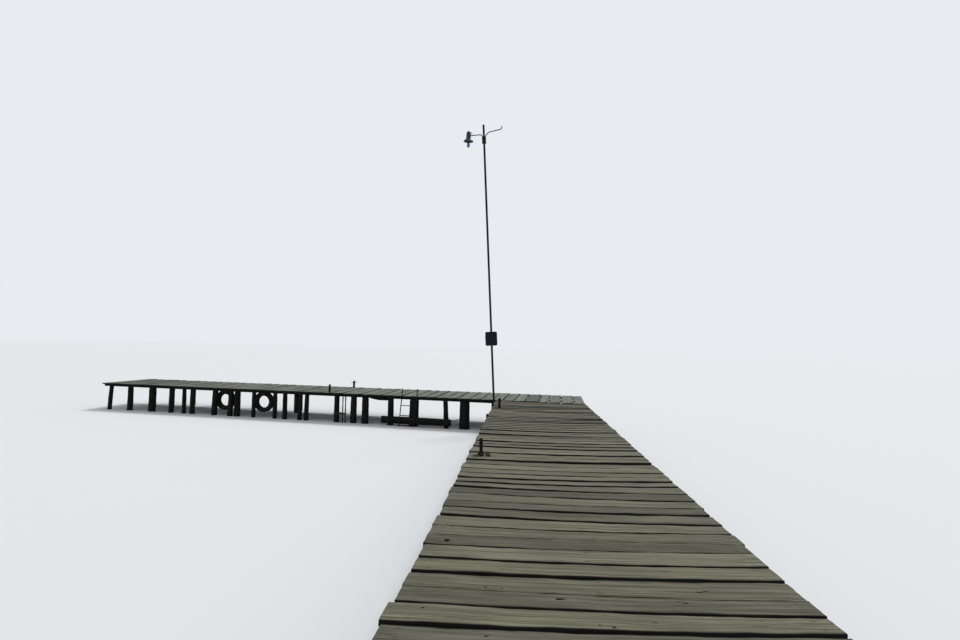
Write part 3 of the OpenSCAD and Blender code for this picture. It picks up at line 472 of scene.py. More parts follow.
def grain_group():
    """Weathered wood in metres along, across and through the timber. Streaks and fibres are
    noise drawn out along it, pushed aside round scattered knots; checks are the thin lines
    where a drawn-out noise passes its middle."""
    group = bpy.data.node_groups.new("weathered grain", "ShaderNodeTree")
    group.interface.new_socket("Place", in_out="INPUT", socket_type="NodeSocketVector")
    for label in ("Streak", "Fibre", "Mottle", "Knot", "Check", "Relief"):
        group.interface.new_socket(label, in_out="OUTPUT", socket_type="NodeSocketFloat")
    place = group.nodes.new("NodeGroupInput").outputs[0]
    sink = group.nodes.new("NodeGroupOutput").inputs
    cells = (0.8, 2.2)
    flat = stretched(group, place, *cells, 0)
    knots = group.nodes.new("ShaderNodeTexVoronoi")
    knots.voronoi_dimensions = "2D"
    knots.inputs["Scale"].default_value = 1.0
    group.links.new(flat, knots.inputs["Vector"])
    away = put(group, "ShaderNodeVectorMath", {0: flat, 1: knots.outputs["Position"]}, operation="SUBTRACT")
    away = stretched(group, away, 0.6 / cells[0], 1 / cells[1], 0)
    reach = put(group, "ShaderNodeVectorMath", {0: away}, out=1, operation="LENGTH")
    some = graded(group, split(group, knots.outputs["Color"])[0], 0.55, 0.6)
    square = calc(group, "POWER", calc(group, "DIVIDE", reach, 0.045), 2)
    push = calc(group, "MULTIPLY", calc(group, "EXPONENT", calc(group, "MULTIPLY", square, -1)), some)
    sideways = calc(group, "MULTIPLY", split(group, away)[1], calc(group, "MULTIPLY", push, 0.85))
    shift = put(group, "ShaderNodeCombineXYZ", {1: sideways})
    bent = put(group, "ShaderNodeVectorMath", {0: place, 1: shift}, operation="SUBTRACT")
    streak = noise(group, stretched(group, bent, 0.9, 42, 42), 6, 0.62)
    fibres = noise(group, stretched(group, bent, 7, 330, 330), 2)
    mottle = noise(group, stretched(group, place, 1.3, 3.5, 3.5), 3)
    drawn_out = noise(group, stretched(group, bent, 1.1, 42, 42), 1)
    line = calc(group, "ABSOLUTE", calc(group, "SUBTRACT", drawn_out, 0.5))
    area = graded(group, noise(group, stretched(group, place, 1.5, 5, 5), 1), 0.5, 0.62)
    check = calc(group, "MULTIPLY", graded(group, line, 0.004, 0.012, 1, 0), area)
    knot = calc(group, "MULTIPLY", graded(group, reach, 0.01, 0.017, 1, 0), some)
    relief = calc(group, "MULTIPLY_ADD", fibres, 0.3, calc(group, "MULTIPLY", streak, 0.6))
    relief = calc(group, "SUBTRACT", relief, check)
    for socket, value in zip(sink, (streak, fibres, mottle, knot, check, relief)):
        group.links.new(value, socket)
    return group


weathered_grain = grain_group()


def grained(tree, place):
    """The outputs of the weathered grain at a place."""
    node = tree.nodes.new("ShaderNodeGroup")
    node.node_tree = weathered_grain
    tree.links.new(place, node.inputs[0])
    return node.outputs


def deck_material():
    """Grey weathered boards: pale and dark streaks, damp greenish patches, thin dark checks,
    brown knots, a dark band of dirt and painted shade along the seams, and a rusty stain that
    runs along the grain from each nail. Each board's tint and the painted shade of the shade
    attribute multiply the colour."""
    material, tree, shader = new_material("weathered board", Specular_IOR_Level=0.3)
    grain = grained(tree, own(tree, "grain"))
    colour = mixed(tree, graded(tree, grain["Streak"], 0.3, 0.7), srgb(64, 63, 48), srgb(121, 119, 99))
    patch = graded(tree, grain["Mottle"], 0.42, 0.68, 0.0, 0.5)
    colour = mixed(tree, patch, colour, srgb(76, 76, 61))
    thread = graded(tree, grain["Fibre"], 0.3, 0.7, 0.25, 0.0)
    colour = mixed(tree, thread, colour, srgb(58, 54, 45))
    colour = mixed(tree, calc(tree, "MULTIPLY", grain["Knot"], 0.75), colour, srgb(52, 41, 31))
    colour = mixed(tree, calc(tree, "MULTIPLY", grain["Check"], 0.85), colour, srgb(32, 29, 24))
    along, edge, spread = split(tree, own(tree, "nail"))
    far = calc(tree, "WRAP", along, 0.5, -0.5)
    place = {0: calc(tree, "MULTIPLY", far, 0.45), 1: calc(tree, "SUBTRACT", edge, nail_edge)}
    place = put(tree, "ShaderNodeCombineXYZ", place)
    near = put(tree, "ShaderNodeVectorMath", {0: place}, out=1, operation="LENGTH")
    stain = calc(tree, "MULTIPLY", graded(tree, near, 0.003, 0.014, 0.7, 0.0), spread)
    colour = mixed(tree, stain, colour, srgb(44, 36, 30))
    # dirt and painted shade: a near-black band beside each seam, fuller where the seam's step is higher
    seam_dirt_and_shade_mask = graded(tree, split(tree, own(tree, "seam"))[0], 0.001, seam_dirt_and_shade, 0.8, 0.0)
    colour = mixed(tree, seam_dirt_and_shade_mask, colour, srgb(24, 23, 19))
    colour = mixed(tree, 1.0, colour, own(tree, "tint"), "MULTIPLY")
    # painted shade from the shade attribute: sides, ends, splits and the walls of the cut marks
    colour = mixed(tree, 1.0, colour, own(tree, "shade"), "MULTIPLY")
    rough = graded(tree, grain["Streak"], 0.3, 0.7, 0.95, 0.8)
    finish_surface(tree, shader, colour, rough, grain["Relief"], 0.0022, 0.7)
    return material


def joined_deck(nodes, along, bearer, spacing, names, steps, sag=0.0,
                tones_and_painted_light=(0.89, 1.15), painted_blue_cast=0.0, dirt=(1, 1)):
    """All the boards of one deck. Neighbours share the bow of the seam between them, so the
    gap stays about as wide as it is laid, and a step: half of it lifts the board after the
    seam and half lowers the board before it. bearer gives how far a point is across the deck
    from the middle stringer; nails sit where that is a whole number of spacings. dirt says how
    many times wider the dark band of dirt and painted shade beside a seam is at the first and
    the last board; the band is narrower beside a seam whose step is low."""
    along = np.array(along, float)
    square = np.array([-along[1], along[0]])
    found = [(node, p) for node in nodes for p in solids_of(node)]
    found.sort(key=lambda f: (f[1][:, :2] @ square).mean())
    seams = rng.normal(0, seam_bow, len(found) + 1)
    seams[[0, -1]] = 0
    steps = np.concatenate([[(0, 0, 0)], steps[: len(found) - 1], [(0, 0, 0)]]) / 1000
    open_seam = np.clip(steps.mean(axis=1) / full_band_step, 0.1, 1)
    pieces, nails = {node: [] for node in nodes}, []
    for i, (node, points) in enumerate(found):
        made, (top, w, width) = sawn_timber(
            points, along, rng, board_rows, board_wear * rng.uniform(0.7, 1.4),
            bow=seams[i : i + 2] + (joint_gap, -joint_gap), cup=rng.uniform(-0.002, 0.003),
            lift=(0.5 * steps[i], -0.5 * steps[i + 1]), sag=sag, wave=0.0016, split_chance=0.55,
            sides=0.1,
        )
        # each board's tone at random in its range, raised by painted light on the arm, and the painted blue
        # cast
        wear = rng.uniform(*tones_and_painted_light) ** 2.2 * (dull_tone if rng.uniform() < dull_chance else 1)
        warm = rng.normal(-painted_blue_cast, 0.015)
        tint = wear * np.array([1 + warm, 1 + 0.3 * warm, 1 - warm])
        jitter = rng.normal(0, 0.012, (2, 3))
        rows = len(width)
        place = bearer(made[0][:, 0], made[0][:, 1]) / spacing
        across = np.concatenate([w, w[:, ::-1]], axis=1)
        side = (across / width[:, None]).ravel()
        bump = [np.interp(place, (-1, 0, 1), jitter[k]) for k in (0, 1)]
        slid = place + ((1 - side) * bump[0] + side * bump[1]) / spacing
        edge = np.minimum(across, width[:, None] - across).ravel()
        is_top = np.repeat([(1.0, 0.0)] * rows, lines_across)
        made[3]["nail"] = np.stack([slid, edge, is_top * rng.uniform(0.4, 1)], -1)
        made[3]["tint"] = np.repeat(tint[None], len(made[0]), 0)
        band_held_back = seam_dirt_and_shade * (1 - open_seam[i : i + 2])
        band = np.interp(i, (0, len(found)), dirt)
        left, right = across / band + band_held_back[0], (width[:, None] - across) / band + band_held_back[1]
        made[3]["seam"] = np.repeat(np.minimum(left, right).reshape(-1, 1), 3, 1)
        pieces[node].append(made)
        middle = bearer(*top[:, lines_across // 2, :2].T)
        pace = max(1e-6, abs(bearer(*along) - bearer(0, 0)))
        for k, line in enumerate((-spacing, 0.0, spacing)):
            for end in (0, 1):
                where = line - jitter[end][k]
                if middle.min() < where < middle.max() and rng.uniform() < nail_chance:
                    row = int(np.argmin(np.abs(middle - where)))
                    reach = nail_edge if end == 0 else width[row] - nail_edge
                    if width[row] > nailed_width:
                        at = [np.interp(reach, w[row], top[row, :, c]) for c in range(3)]
                        slope = along * (where - middle[row]) / pace
                        nails.append([at[0] + slope[0], at[1] + slope[1], at[2]])
    for node, name in zip(nodes, names):
        add_piece(name, pieces[node], weathered_board, [node])
    return np.array(nails)


weathered_board = deck_material()
walkway_nodes = [f"walkway_planks_{k}" for k in range(1, 8)]
walkway_names = [f"walkway_boards_{k}" for k in range(1, 8)]
outer_stringer = max(p[:, 0].mean() for p in solids_of("walkway_stringers"))
walkway_spacing = outer_stringer - walkway_x


def from_walkway_middle(x, y):
    """Distance to the right of the walkway's middle stringer."""
    return x - walkway_x


# Height steps at the walkway's seams in millimetres, from the shore end on: near the left
# end, in the middle and near the right end. They are measured from how thick the dark line
# at each seam looks, and were worked out and written here by another program.
walkway_sag = 0.017
walkway_steps = [
    (6, 8, 5), (9, 5, 7), (3, 4, 6), (12, 10, 9), (4, 3, 5), (7, 9, 6), (14, 10, 9), (5, 9, 10),
    (1, 2, 1), (14, 13, 8), (9, 9, 7), (6, 0, 1), (0, 0, 1), (3, 7, 5), (11, 4, 6), (3, 14, 9), (2, 2, 4),
    (1, 6, 10), (16, 9, 1), (13, 13, 11), (15, 17, 17), (3, 7, 1), (6, 4, 10), (4, 2, 1), (15, 25, 25),
    (0, 1, 1), (9, 14, 14), (1, 1, 1), (17, 14, 13), (3, 10, 9), (16, 10, 7), (1, 1, 6), (1, 1, 0),
    (24, 14, 4), (3, 2, 2), (22, 19, 17), (10, 10, 9), (7, 5, 3), (6, 9, 6), (8, 9, 8), (7, 6, 18),
    (6, 14, 6), (10, 7, 14), (16, 11, 25), (6, 12, 6), (2, 2, 2), (3, 4, 7), (6, 6, 14), (6, 24, 18),
    (10, 6, 6), (16, 11, 6), (7, 9, 15), (12, 16, 13), (13, 11, 6), (4, 3, 6), (2, 2, 2), (9, 6, 15),
    (7, 6, 3), (12, 11, 10),
]
# On the walkway the band of dirt and painted shade at the seams grows wider towards the far boards.
walkway_nails = joined_deck(
    walkway_nodes, (1, 0), from_walkway_middle, walkway_spacing, walkway_names, walkway_steps,
    walkway_sag, dirt=(1, 3.5),
)

arm_nodes = ["corner_planks"] + [f"arm_planks_{k}" for k in range(1, 5)]
arm_names = ["corner_boards"] + [f"arm_boards_{k}" for k in range(1, 5)]
front_lengths = solids_of("arm_front_stringer")
arm_skew = math.radians(13)
arm_along = np.array([-math.cos(arm_skew), math.sin(arm_skew)])
arm_across = np.array([math.sin(arm_skew), math.cos(arm_skew)])
inner_lengths = solids_of("arm_inner_stringers")
lines = sorted((p[:, :2] @ arm_across).mean() for p in front_lengths + inner_lengths)
arm_middle = (lines[0] + lines[-1]) / 2
arm_spacing = (lines[-1] - lines[0]) / 2


def from_arm_middle(x, y):
    """Distance behind the arm's middle stringer, square to it."""
    return x * arm_across[0] + y * arm_across[1] - arm_middle


arm_steps = rng.choice((2, 4, 6, 9, 13), (80, 3))
# painted light: the arm's boards are painted paler and bluer than the walkway's, and their seam band of dirt
# and painted shade is three times as wide.
arm_nails = joined_deck(
    arm_nodes, (0, 1), from_arm_middle, arm_spacing, arm_names, arm_steps, tones_and_painted_light=(1.16, 1.26),
    painted_blue_cast=0.16, dirt=(3, 3),
)

# Marks in the boards: a knot hole near the left edge, and places where the grain round a
# knot has broken out or a splinter has come off. They are cut into the boards. Each mark has
# its metres to the right of the walkway's middle and from the shore end, and the half length,
# half width and depth of its lump in millimetres.
# The walls of each cut are darkened by painted shade.
marks = [
    (-1.073, 3.621, 22, 36, 60), (-0.263, 2.509, 28, 12, 9), (-0.681, 1.929, 10, 8, 7),
    (-1.061, 2.256, 9, 9, 8), (-0.065, 2.142, 8, 7, 7), (0.009, 2.123, 10, 11, 9),
    (0.086, 3.894, 8, 9, 8), (0.62, 2.733, 22, 7, 6), (0.66, 2.752, 16, 6, 5),
    (0.49, 2.53, 18, 7, 6), (0.45, 2.546, 13, 6, 5), (-0.72, 2.66, 14, 7, 6),
    (-0.62, 2.645, 11, 6, 5),
]


def lens(at, length, width, depth, rng, around=14):
    """A closed lump with a rough outline: rings whose size is the root of one less the square
    of the height, stretched along the grain."""
    angle = full_turn(around)
    level = np.array([-0.97, -0.7, -0.4, -0.12, -0.02, 0.25, 0.6, 0.9])
    outline = 1 + 0.16 * rng.uniform(-1, 1, around)
    r = np.sqrt(1 - level**2)[:, None] * outline
    sides = length * r * np.cos(angle), width * r * np.sin(angle), depth * level[:, None]
    return closed_tube(np.asarray(at) + np.stack(np.broadcast_arrays(*sides), -1))


def read(items, label, size=3):
    """All the vectors of a mesh's points or of one of its attributes."""
    values = np.zeros(len(items) * size, np.float32)
    items.foreach_get(label, values)
    return values.reshape(-1, size)


def keys(points):
    """One whole number for each point: its three places to 0.01 mm, set side by side."""
    return np.round(points.astype(float) * 1e5).astype(np.int64) @ np.array([1, 2**21, 2**42])


def carry_values(old, new, lumps):
    """Values of the old mesh on the new one. A point that was there keeps its own. One on a
    rim takes those of the nearest old point, its grain moved on by the distance between the
    two, and is left unshaded. One of the lump itself is darkened by painted shade."""
    before, after = read(old.vertices, "co"), read(new.vertices, "co")
    order = np.argsort(keys(before))
    place = np.searchsorted(keys(before)[order], keys(after)).clip(0, len(order) - 1)
    source = order[place]
    fresh = keys(before)[source] != keys(after)
    apart = ((after[fresh][:, None] - before) ** 2).sum(-1)
    source[fresh] = apart.argmin(1)
    # painted shade: the lump's own points line the walls of the cut and are darkened to 0.12
    hidden = np.isin(keys(after), keys(lumps))
    for layer in old.attributes:
        if layer.data_type == "FLOAT_VECTOR" and layer.name != "position":
            values = read(layer.data, "vector")[source]
            if layer.name == "grain":
                values = values + after - before[source]
            elif layer.name == "shade":
                values[fresh] = 1
                values[hidden] = 0.12
            new.attributes[layer.name].data.foreach_set("vector", values.ravel())


def cut_marks(pieces, places):
    """Takes the lumps out of the pieces they stand in, at the height of the boards' top there."""
    bpy.context.view_layer.update()
    for piece in pieces:
        lumps = []
        for x, y, length, width, depth in places:
            hit, at, _, _ = piece.ray_cast((walkway_x + x, shore_y + y, deck_top + 1), (0, 0, -1))
            if hit:
                lumps.append(lens(at, length / 1000, width / 1000, depth / 1000, rng))
        if lumps:
            cutter = add_piece("cutter", lumps, rusted_iron)
            change = piece.modifiers.new("marks", "BOOLEAN")
            change.object, change.operation, change.solver = cutter, "DIFFERENCE", "EXACT"
            view = bpy.context.evaluated_depsgraph_get()
            mesh = bpy.data.meshes.new_from_object(piece.evaluated_get(view))
            carry_values(piece.data, mesh, np.concatenate([lump[0] for lump in lumps]))
            piece.modifiers.clear()
            piece.data = mesh
            bpy.data.objects.remove(cutter)


# Nails: hand-driven iron nails with round heads about 9 mm across, rusted dark, two in each
# board on each stringer.
nail_r = 0.0048


def fasteners(profile, places, directions, around, corners=0):
    """Copies of one turned head: a profile of radius and height carried round its axis, flat
    at as many corners as asked, and set at each place along its direction."""
    angle = full_turn(around)
    shape = np.ones(around)
    if corners:
        part = math.pi / corners
        shape = math.cos(part) / np.cos((angle + part) % (2 * part) - part)
    shells = []
    for at, way in zip(places, unit(directions)):
        side = unit(np.cross(way, (0.3, 0.2, 1) if abs(way[2]) < 0.9 else (1, 0, 0)))
        third = np.cross(way, side)
        spin = np.cos(angle)[:, None] * side + np.sin(angle)[:, None] * third
        rows = [at + way * h + spin * r * (shape[:, None] if flat else 1) for r, h, flat in profile]
        shells.append(closed_tube(np.array(rows)))
    return shells


def jetty_place(tree):
    """Object coordinates, which are the jetty's own, because each piece lies at the origin."""
    return put(tree, "ShaderNodeTexCoord", {}, out=3)


def iron_material():
    """Old iron: brown-black rust with paler orange specks."""
    material, tree, shader = new_material("rusted iron", metallic=0.2)
    place = jetty_place(tree)
    specks = noise(tree, place, 4, 0.6, scale=180)
    colour = mixed(tree, graded(tree, specks, 0.4, 0.7), srgb(38, 30, 26), srgb(98, 62, 42))
    finish_surface(tree, shader, colour, 0.75, specks, 0.0008, 0.6)
    return material


rusted_iron = iron_material()
nail_profile = [(nail_r, -0.002, 0), (nail_r, 0.0008, 0), (nail_r * 0.6, 0.0016, 0)]
nail_places = np.concatenate([walkway_nails, arm_nails])
nail_heads = fasteners(nail_profile, nail_places, np.tile((0, 0, 1.0), (len(nail_places), 1)), 8)
add_piece("deck_nails", nail_heads, rusted_iron)
cut_marks([bpy.data.objects[name] for name in walkway_names], marks)

# Beams: dark, damp sawn timber, and darker still by painted shade. Stringers run under the
# boards and lie on the cap beams and pile heads, the ledger takes the walkway's last ends, the
# bolster packs out one pile, and the fender beam is bolted to three front piles.


def beam_material():
    """Dark timber that stays damp: near-black streaks, darker and glossier low down. The near-black is
    partly painted shade, and the shade attribute paints shade on the sides and ends.
    """
    material, tree, shader = new_material("damp beam", Specular_IOR_Level=0.12)
    grain = grained(tree, own(tree, "grain"))
    height = split(tree, jetty_place(tree))[2]
    colour = mixed(tree, graded(tree, grain["Streak"], 0.3, 0.7), srgb(10, 12, 12), srgb(33, 33, 30))
    colour = mixed(tree, graded(tree, grain["Mottle"], 0.4, 0.7, 0.0, 0.6), colour, srgb(18, 20, 18))
    colour = mixed(tree, calc(tree, "MULTIPLY", grain["Check"], 0.8), colour, srgb(14, 13, 12))
    colour = mixed(tree, calc(tree, "MULTIPLY", grain["Knot"], 0.6), colour, srgb(30, 24, 19))
    colour = mixed(tree, graded(tree, height, 0.2, 0.45, 0.7, 0.0), colour, srgb(10, 12, 11))
    # painted shade on the sides and ends, from the shade attribute
    colour = mixed(tree, 1.0, colour, own(tree, "shade"), "MULTIPLY")
    rough = graded(tree, height, 0.2, 0.5, 0.5, 0.85)
    finish_surface(tree, shader, colour, rough, grain["Relief"], 0.003, 0.8)
    return material


off_middle = 0.1


def beams(node, name, along, rows, wear=0.004, split_chance=0.6, notch=0.0):
    """Each solid of a node as a sawn beam. One on the walkway's middle line is let into what
    it lies on by a notch."""
    solids = solids_of(node)
    for points in solids:
        points[:, 2] -= notch * (abs(points[:, 0].mean() - walkway_x) < off_middle)
    shells = [sawn_timber(p, along, rng, rows, wear, split_chance=split_chance)[0] for p in solids]
    add_piece(name, shells, damp_shaded_beam, [node])


damp_shaded_beam = beam_material()
beams("walkway_stringers", "stringer_beams", (0, 1), 36, notch=walkway_sag)
beams("walkway_cap_beams", "cap_beams", (1, 0), 40, wear=0.006)
for node, name, rows in (
    ("joining_ledger", "ledger_beam", 40), ("arm_front_stringer", "front_stringer_beam", 56),
    ("arm_inner_stringers", "inner_stringer_beams", 56), ("stringer_bolster", "bolster_block", 24),
):
    beams(node, name, arm_along, rows)
beams("fender_beam", "fender_timber", arm_along, 50, wear=0.012, split_chance=0.9)

# Piles: round logs with the bark gone, driven into the ground and sawn off level under the
# beams. They are black and slimy low down, grey-brown and checked above, and their whole
# colour is darkened by painted shade.


def log_ends(points):
    """Middle and radius of a log's foot and head, from the points at its lowest and highest."""
    found = []
    for z in (points[:, 2].min(), points[:, 2].max()):
        end = points[np.abs(points[:, 2] - z) < 0.004]
        low, high = end.min(axis=0), end.max(axis=0)
        found.append(((low + high) / 2, (high - low)[:2].min() / 2))
    return found


def log_surface(foot, foot_r, head, head_r, rng, rows=30, around=48, rough=1.0, chamfer=0.006):
    """A tapering log: the radius runs evenly from foot to head, is slightly oval and
    three-cornered, swells at a few knots, and dips in narrow flutes that wander up the log.
    The middle line bends by a half sine."""
    length = np.linalg.norm(head - foot)
    s = np.concatenate([np.linspace(0, 1 - chamfer / length, rows), [1.0]])
    angle = full_turn(around)
    turn = angle + rng.uniform(0, 6.28) + 0.3 * s[:, None]
    r = (foot_r + (head_r - foot_r) * s)[:, None] * np.ones(around)
    size = head_r * rough
    r = r + size * (0.022 * np.cos(2 * turn) + 0.014 * np.cos(3 * turn + 1) - 0.02)
    r = r + 0.0015 * rough * waves(s * length, 0.4, 3, rng)[:, None]
    for _ in range(4):
        line = rng.uniform(0, 2 * math.pi) + 0.12 * waves(s * length, 0.9, 2, rng)
        off = np.angle(np.exp(1j * (angle - line[:, None])))
        reach = np.clip(1 - np.abs(s - rng.uniform(0, 1)) / rng.uniform(0.3, 0.9), 0, 1)
        r = r - size * 0.07 * reach[:, None] * np.exp(-((off / 0.09) ** 2))
    for _ in range(3):
        off = np.angle(np.exp(1j * (angle - rng.uniform(0, 6.28))))
        above = (s[:, None] - rng.uniform(0.1, 0.9)) * length
        lump = np.exp(-((off / 0.22) ** 2)) * np.exp(-((above / 0.025) ** 2))
        r = r + size * 0.07 * lump
    r[-1] -= min(chamfer, head_r / 4)
    middle = foot + (head - foot) * s[:, None]
    lean = rng.normal(0, 0.004 * rough, 2)
    middle = middle + np.sin(math.pi * s)[:, None] * np.array([lean[0], lean[1], 0])
    ring = np.stack([np.cos(angle), np.sin(angle), np.zeros(around)], -1)
    local = r[..., None] * ring
    run = np.broadcast_to((s * length)[:, None], r.shape)
    place = np.stack([run, local[..., 0], local[..., 1]], -1) + rng.uniform(-40, 40, 3)
    return closed_tube(middle[:, None] + local, grain=place)


def pile_material():
    """A log with a damp foot: black and glossy there, a green band over it, dry and grey-brown
    at the head, with long checks. All its colours are set near black, which is partly painted
    shade."""
    material, tree, shader = new_material("wet log", Specular_IOR_Level=0.12)
    grain = grained(tree, own(tree, "grain"))
    place = jetty_place(tree)
    patch = noise(tree, stretched(tree, place, 9, 9, 3), 4)
    height = calc(tree, "MULTIPLY_ADD", patch, 0.22, split(tree, place)[2])
    # near-black colours: the damp wood's own, darkened further by painted shade
    colour = mixed(tree, graded(tree, grain["Streak"], 0.3, 0.7), srgb(9, 11, 12), srgb(33, 33, 30))
    colour = mixed(tree, calc(tree, "MULTIPLY", grain["Check"], 0.85), colour, srgb(14, 13, 11))
    colour = mixed(tree, calc(tree, "MULTIPLY", grain["Knot"], 0.6), colour, srgb(30, 24, 19))
    colour = mixed(tree, graded(tree, height, 0.3, 0.62, 0.75, 0.0), colour, srgb(13, 17, 14))
    colour = mixed(tree, graded(tree, height, 0.2, 0.42, 0.9, 0.0), colour, srgb(6, 9, 9))
    rough = graded(tree, height, 0.2, 0.5, 0.35, 0.88)
    finish_surface(tree, shader, colour, rough, grain["Relief"], 0.003, 0.9)
    return material


def logs(node, name, material, slot, **shape):
    """Each solid of a node as a round log."""
    shells = []
    for points in solids_of(node):
        (foot, foot_r), (head, head_r) = log_ends(points)
        shells.append(log_surface(foot, foot_r, head, head_r, rng, **shape))
    add_piece(name, shells, material, [node])


wet_shaded_log = pile_material()
for place in ("walkway", "arm_front", "arm_middle", "arm_back"):
    logs(place + "_piles", place.replace("arm_", "") + "_logs", wet_shaded_log, "pile_wood")
logs("thin_stakes", "stake_poles", wet_shaded_log, "pile_wood", around=20)

# Mooring posts: worn round posts, thinner than the piles, that stand up through the boards
# for ropes to be tied to. Their tops are rounded by use; one has an iron pin through it.


def post_material():
    """Dark brown handled wood, nearly black where ropes rub, grey on top."""
    material, tree, shader = new_material("handled post", Specular_IOR_Level=0.12)
    grain = grained(tree, own(tree, "grain"))
    height = split(tree, jetty_place(tree))[2]
    colour = mixed(tree, graded(tree, grain["Streak"], 0.3, 0.7), srgb(14, 13, 11), srgb(40, 36, 30))
    colour = mixed(tree, calc(tree, "MULTIPLY", grain["Check"], 0.85), colour, srgb(16, 13, 11))
    top = graded(tree, height, deck_top + 0.23, deck_top + 0.238, 0.0, 0.5)
    colour = mixed(tree, top, colour, srgb(46, 44, 38))
    foot = graded(tree, height, deck_top, deck_top + 0.1, 0.6, 0.0)
    colour = mixed(tree, foot, colour, srgb(26, 23, 19))
    finish_surface(tree, shader, colour, 0.8, grain["Relief"], 0.003, 0.8)
    return material


handled_post = post_material()
logs("mooring_posts", "mooring_bollards", handled_post, "post_wood", around=40, chamfer=0.008, rough=0.8)

# Tyres: three old car tyres hung as fenders under the arm's edge. Each is a hollow carcass
# with open beads, three grooves round the tread and lugs cut across both shoulders.
tyre_hole, tyre_lugs, tyre_wall = 0.195, 40, 0.014
tread_groove, groove_half, groove_depth = 0.028, 0.0035, 0.005


def tyre_frame(node):
    """Middle, axis and size of a tyre: the axis is the way in which its plan is thinnest."""
    points = solids_of(node)[0]
    low, high = points.min(axis=0), points.max(axis=0)
    middle = (low + high) / 2
    axis = np.append(np.linalg.eigh(np.cov(points[:, :2].T))[1][:, 0], 0)
    along = (points - middle) @ axis
    return middle, axis, (high[2] - low[2]) / 2, np.abs(along).max()


def sidewall(r_out, half, inset):
    """Half of a carcass from bead to shoulder as (radius, distance from the middle): a smooth
    curve through six points that bulges most at half the wall's height."""
    wall = r_out - tyre_hole
    points = [
        (tyre_hole, half * 0.62 - inset), (tyre_hole + wall * 0.25, half * 0.9 - inset),
        (tyre_hole + wall * 0.5, half - inset), (tyre_hole + wall * 0.75, half * 0.94 - inset),
        (r_out - wall * 0.08 - inset * 0.6, half * 0.76 - inset), (r_out - inset, half * 0.55 - inset * 0.6),
    ]
    return smooth_path(points, 0.015)


def tyre_surface(node):
    """A closed line of the carcass carried round the axis. Four columns make each lug: in two
    of them the shoulder is cut down by the depth of a groove, and the other shoulder is half a
    lug further round."""
    middle, axis, r_out, half = tyre_frame(node)
    outer, inner = sidewall(r_out, half - 0.001, 0), sidewall(r_out, half - 0.001, tyre_wall)
    groove = [(0, 1), (1, 0.8), (1, -0.8), (0, -1)]
    tread = np.array([
        (r_out - d * groove_depth, g * tread_groove + s * groove_half) for g in (1, 0, -1) for d, s in groove
    ])
    lip = np.array([(r_out, tread_groove + 0.009)])
    flip = np.array([1, -1])
    line = np.concatenate([outer, lip, tread, lip * flip, outer[::-1] * flip, inner * flip, inner[::-1]])
    r, off = line.T
    lug = np.arange(4 * tyre_lugs) // 4 + np.tile([0, 0.78, 0.82, 0.96], tyre_lugs)
    later = np.interp(off, (-tread_groove, tread_groove), (0.5, 0))
    angle = 2 * math.pi * (lug[:, None] + later) / tyre_lugs
    shoulder = np.abs(off) > tread_groove + 0.01
    cut = np.tile([False, False, True, True], tyre_lugs)[:, None] & shoulder
    r = np.where(cut, np.minimum(r, r_out - groove_depth), r)
    flat = np.array([axis[1], -axis[0], 0])
    spin = np.cos(angle)[..., None] * flat + np.sin(angle)[..., None] * np.array([0, 0, 1])
    grid = middle + r[..., None] * spin + off[:, None] * axis
    grain = np.stack([angle * r_out, r, np.broadcast_to(off, r.shape)], -1)
    return closed_ring(grid, grain=grain)


def rubber_material():
    """Old rubber: dull black, ribs round the sidewall, grey dust and paler dried spots."""
    material, tree, shader = new_material("old rubber", Specular_IOR_Level=0.15)
    grain = own(tree, "grain")
    radius = split(tree, grain)[1]
    dust = noise(tree, stretched(tree, grain, 9, 30, 30), 5)
    colour = mixed(tree, graded(tree, dust, 0.4, 0.72, 0.0, 0.7), srgb(22, 23, 24), srgb(58, 58, 55))
    place = jetty_place(tree)
    spots = noise(tree, place, 4, 0.6, scale=26)
    colour = mixed(tree, graded(tree, spots, 0.55, 0.72, 0.0, 0.4), colour, srgb(70, 72, 62))
    ribs = calc(tree, "PINGPONG", radius, 0.006)
    wall = graded(tree, radius, 0.222, 0.225, 0.0, 1.0)
    height = calc(tree, "MULTIPLY_ADD", calc(tree, "MULTIPLY", ribs, wall), 60, dust)
    finish_surface(tree, shader, colour, 0.82, height, 0.002, 0.7)
    return material


old_rubber = rubber_material()
tyre_nodes = [f"tyre_{number}" for number in (1, 2, 3)]
for node in tyre_nodes:
    add_piece("fender_" + node, [tyre_surface(node)], old_rubber, [node])

# Tyre straps: a flat woven band goes down beside each tyre, in round its bead and up the
# other side to the stringer.
strap_width, strap_thick = 0.04, 0.0045


def flat_band(path, width_way, width, thick):
    """A band carried along a path: eight corners across, with its thin edges cut off."""
    w, t = width / 2, thick / 2
    inner, thin = w * 0.94, t * 0.4
    corners = np.array([
        (-w, -thin), (-inner, -t), (inner, -t), (w, -thin), (w, thin), (inner, t), (-inner, t),
        (-w, thin),
    ])
    side = frames_along(path, width_way)[0]
    grid = path[:, None] + corners[:, :1] * np.asarray(width_way, float) + corners[:, 1:] * side[:, None]
    run = run_along(path)
    grain = np.stack(np.broadcast_arrays(run[:, None], corners[:, 0], corners[:, 1]), -1)
    return closed_tube(grid, grain=grain)


def webbing_material():
    """Dark worn webbing: fine ribs across the band and fibres along it."""
    material, tree, shader = new_material("webbing", Specular_IOR_Level=0.15)
    run, side, _ = split(tree, own(tree, "grain"))
    weave = calc(tree, "MULTIPLY", calc(tree, "SINE", calc(tree, "MULTIPLY", run, 2200)), 0.5)
    dirt = noise(tree, stretched(tree, own(tree, "grain"), 14, 50, 0), 4)
    colour = mixed(tree, graded(tree, dirt, 0.35, 0.7), srgb(34, 33, 31), srgb(72, 69, 62))
    finish_surface(tree, shader, colour, 0.92, calc(tree, "ADD", weave, dirt), 0.0006, 0.6)
    return material


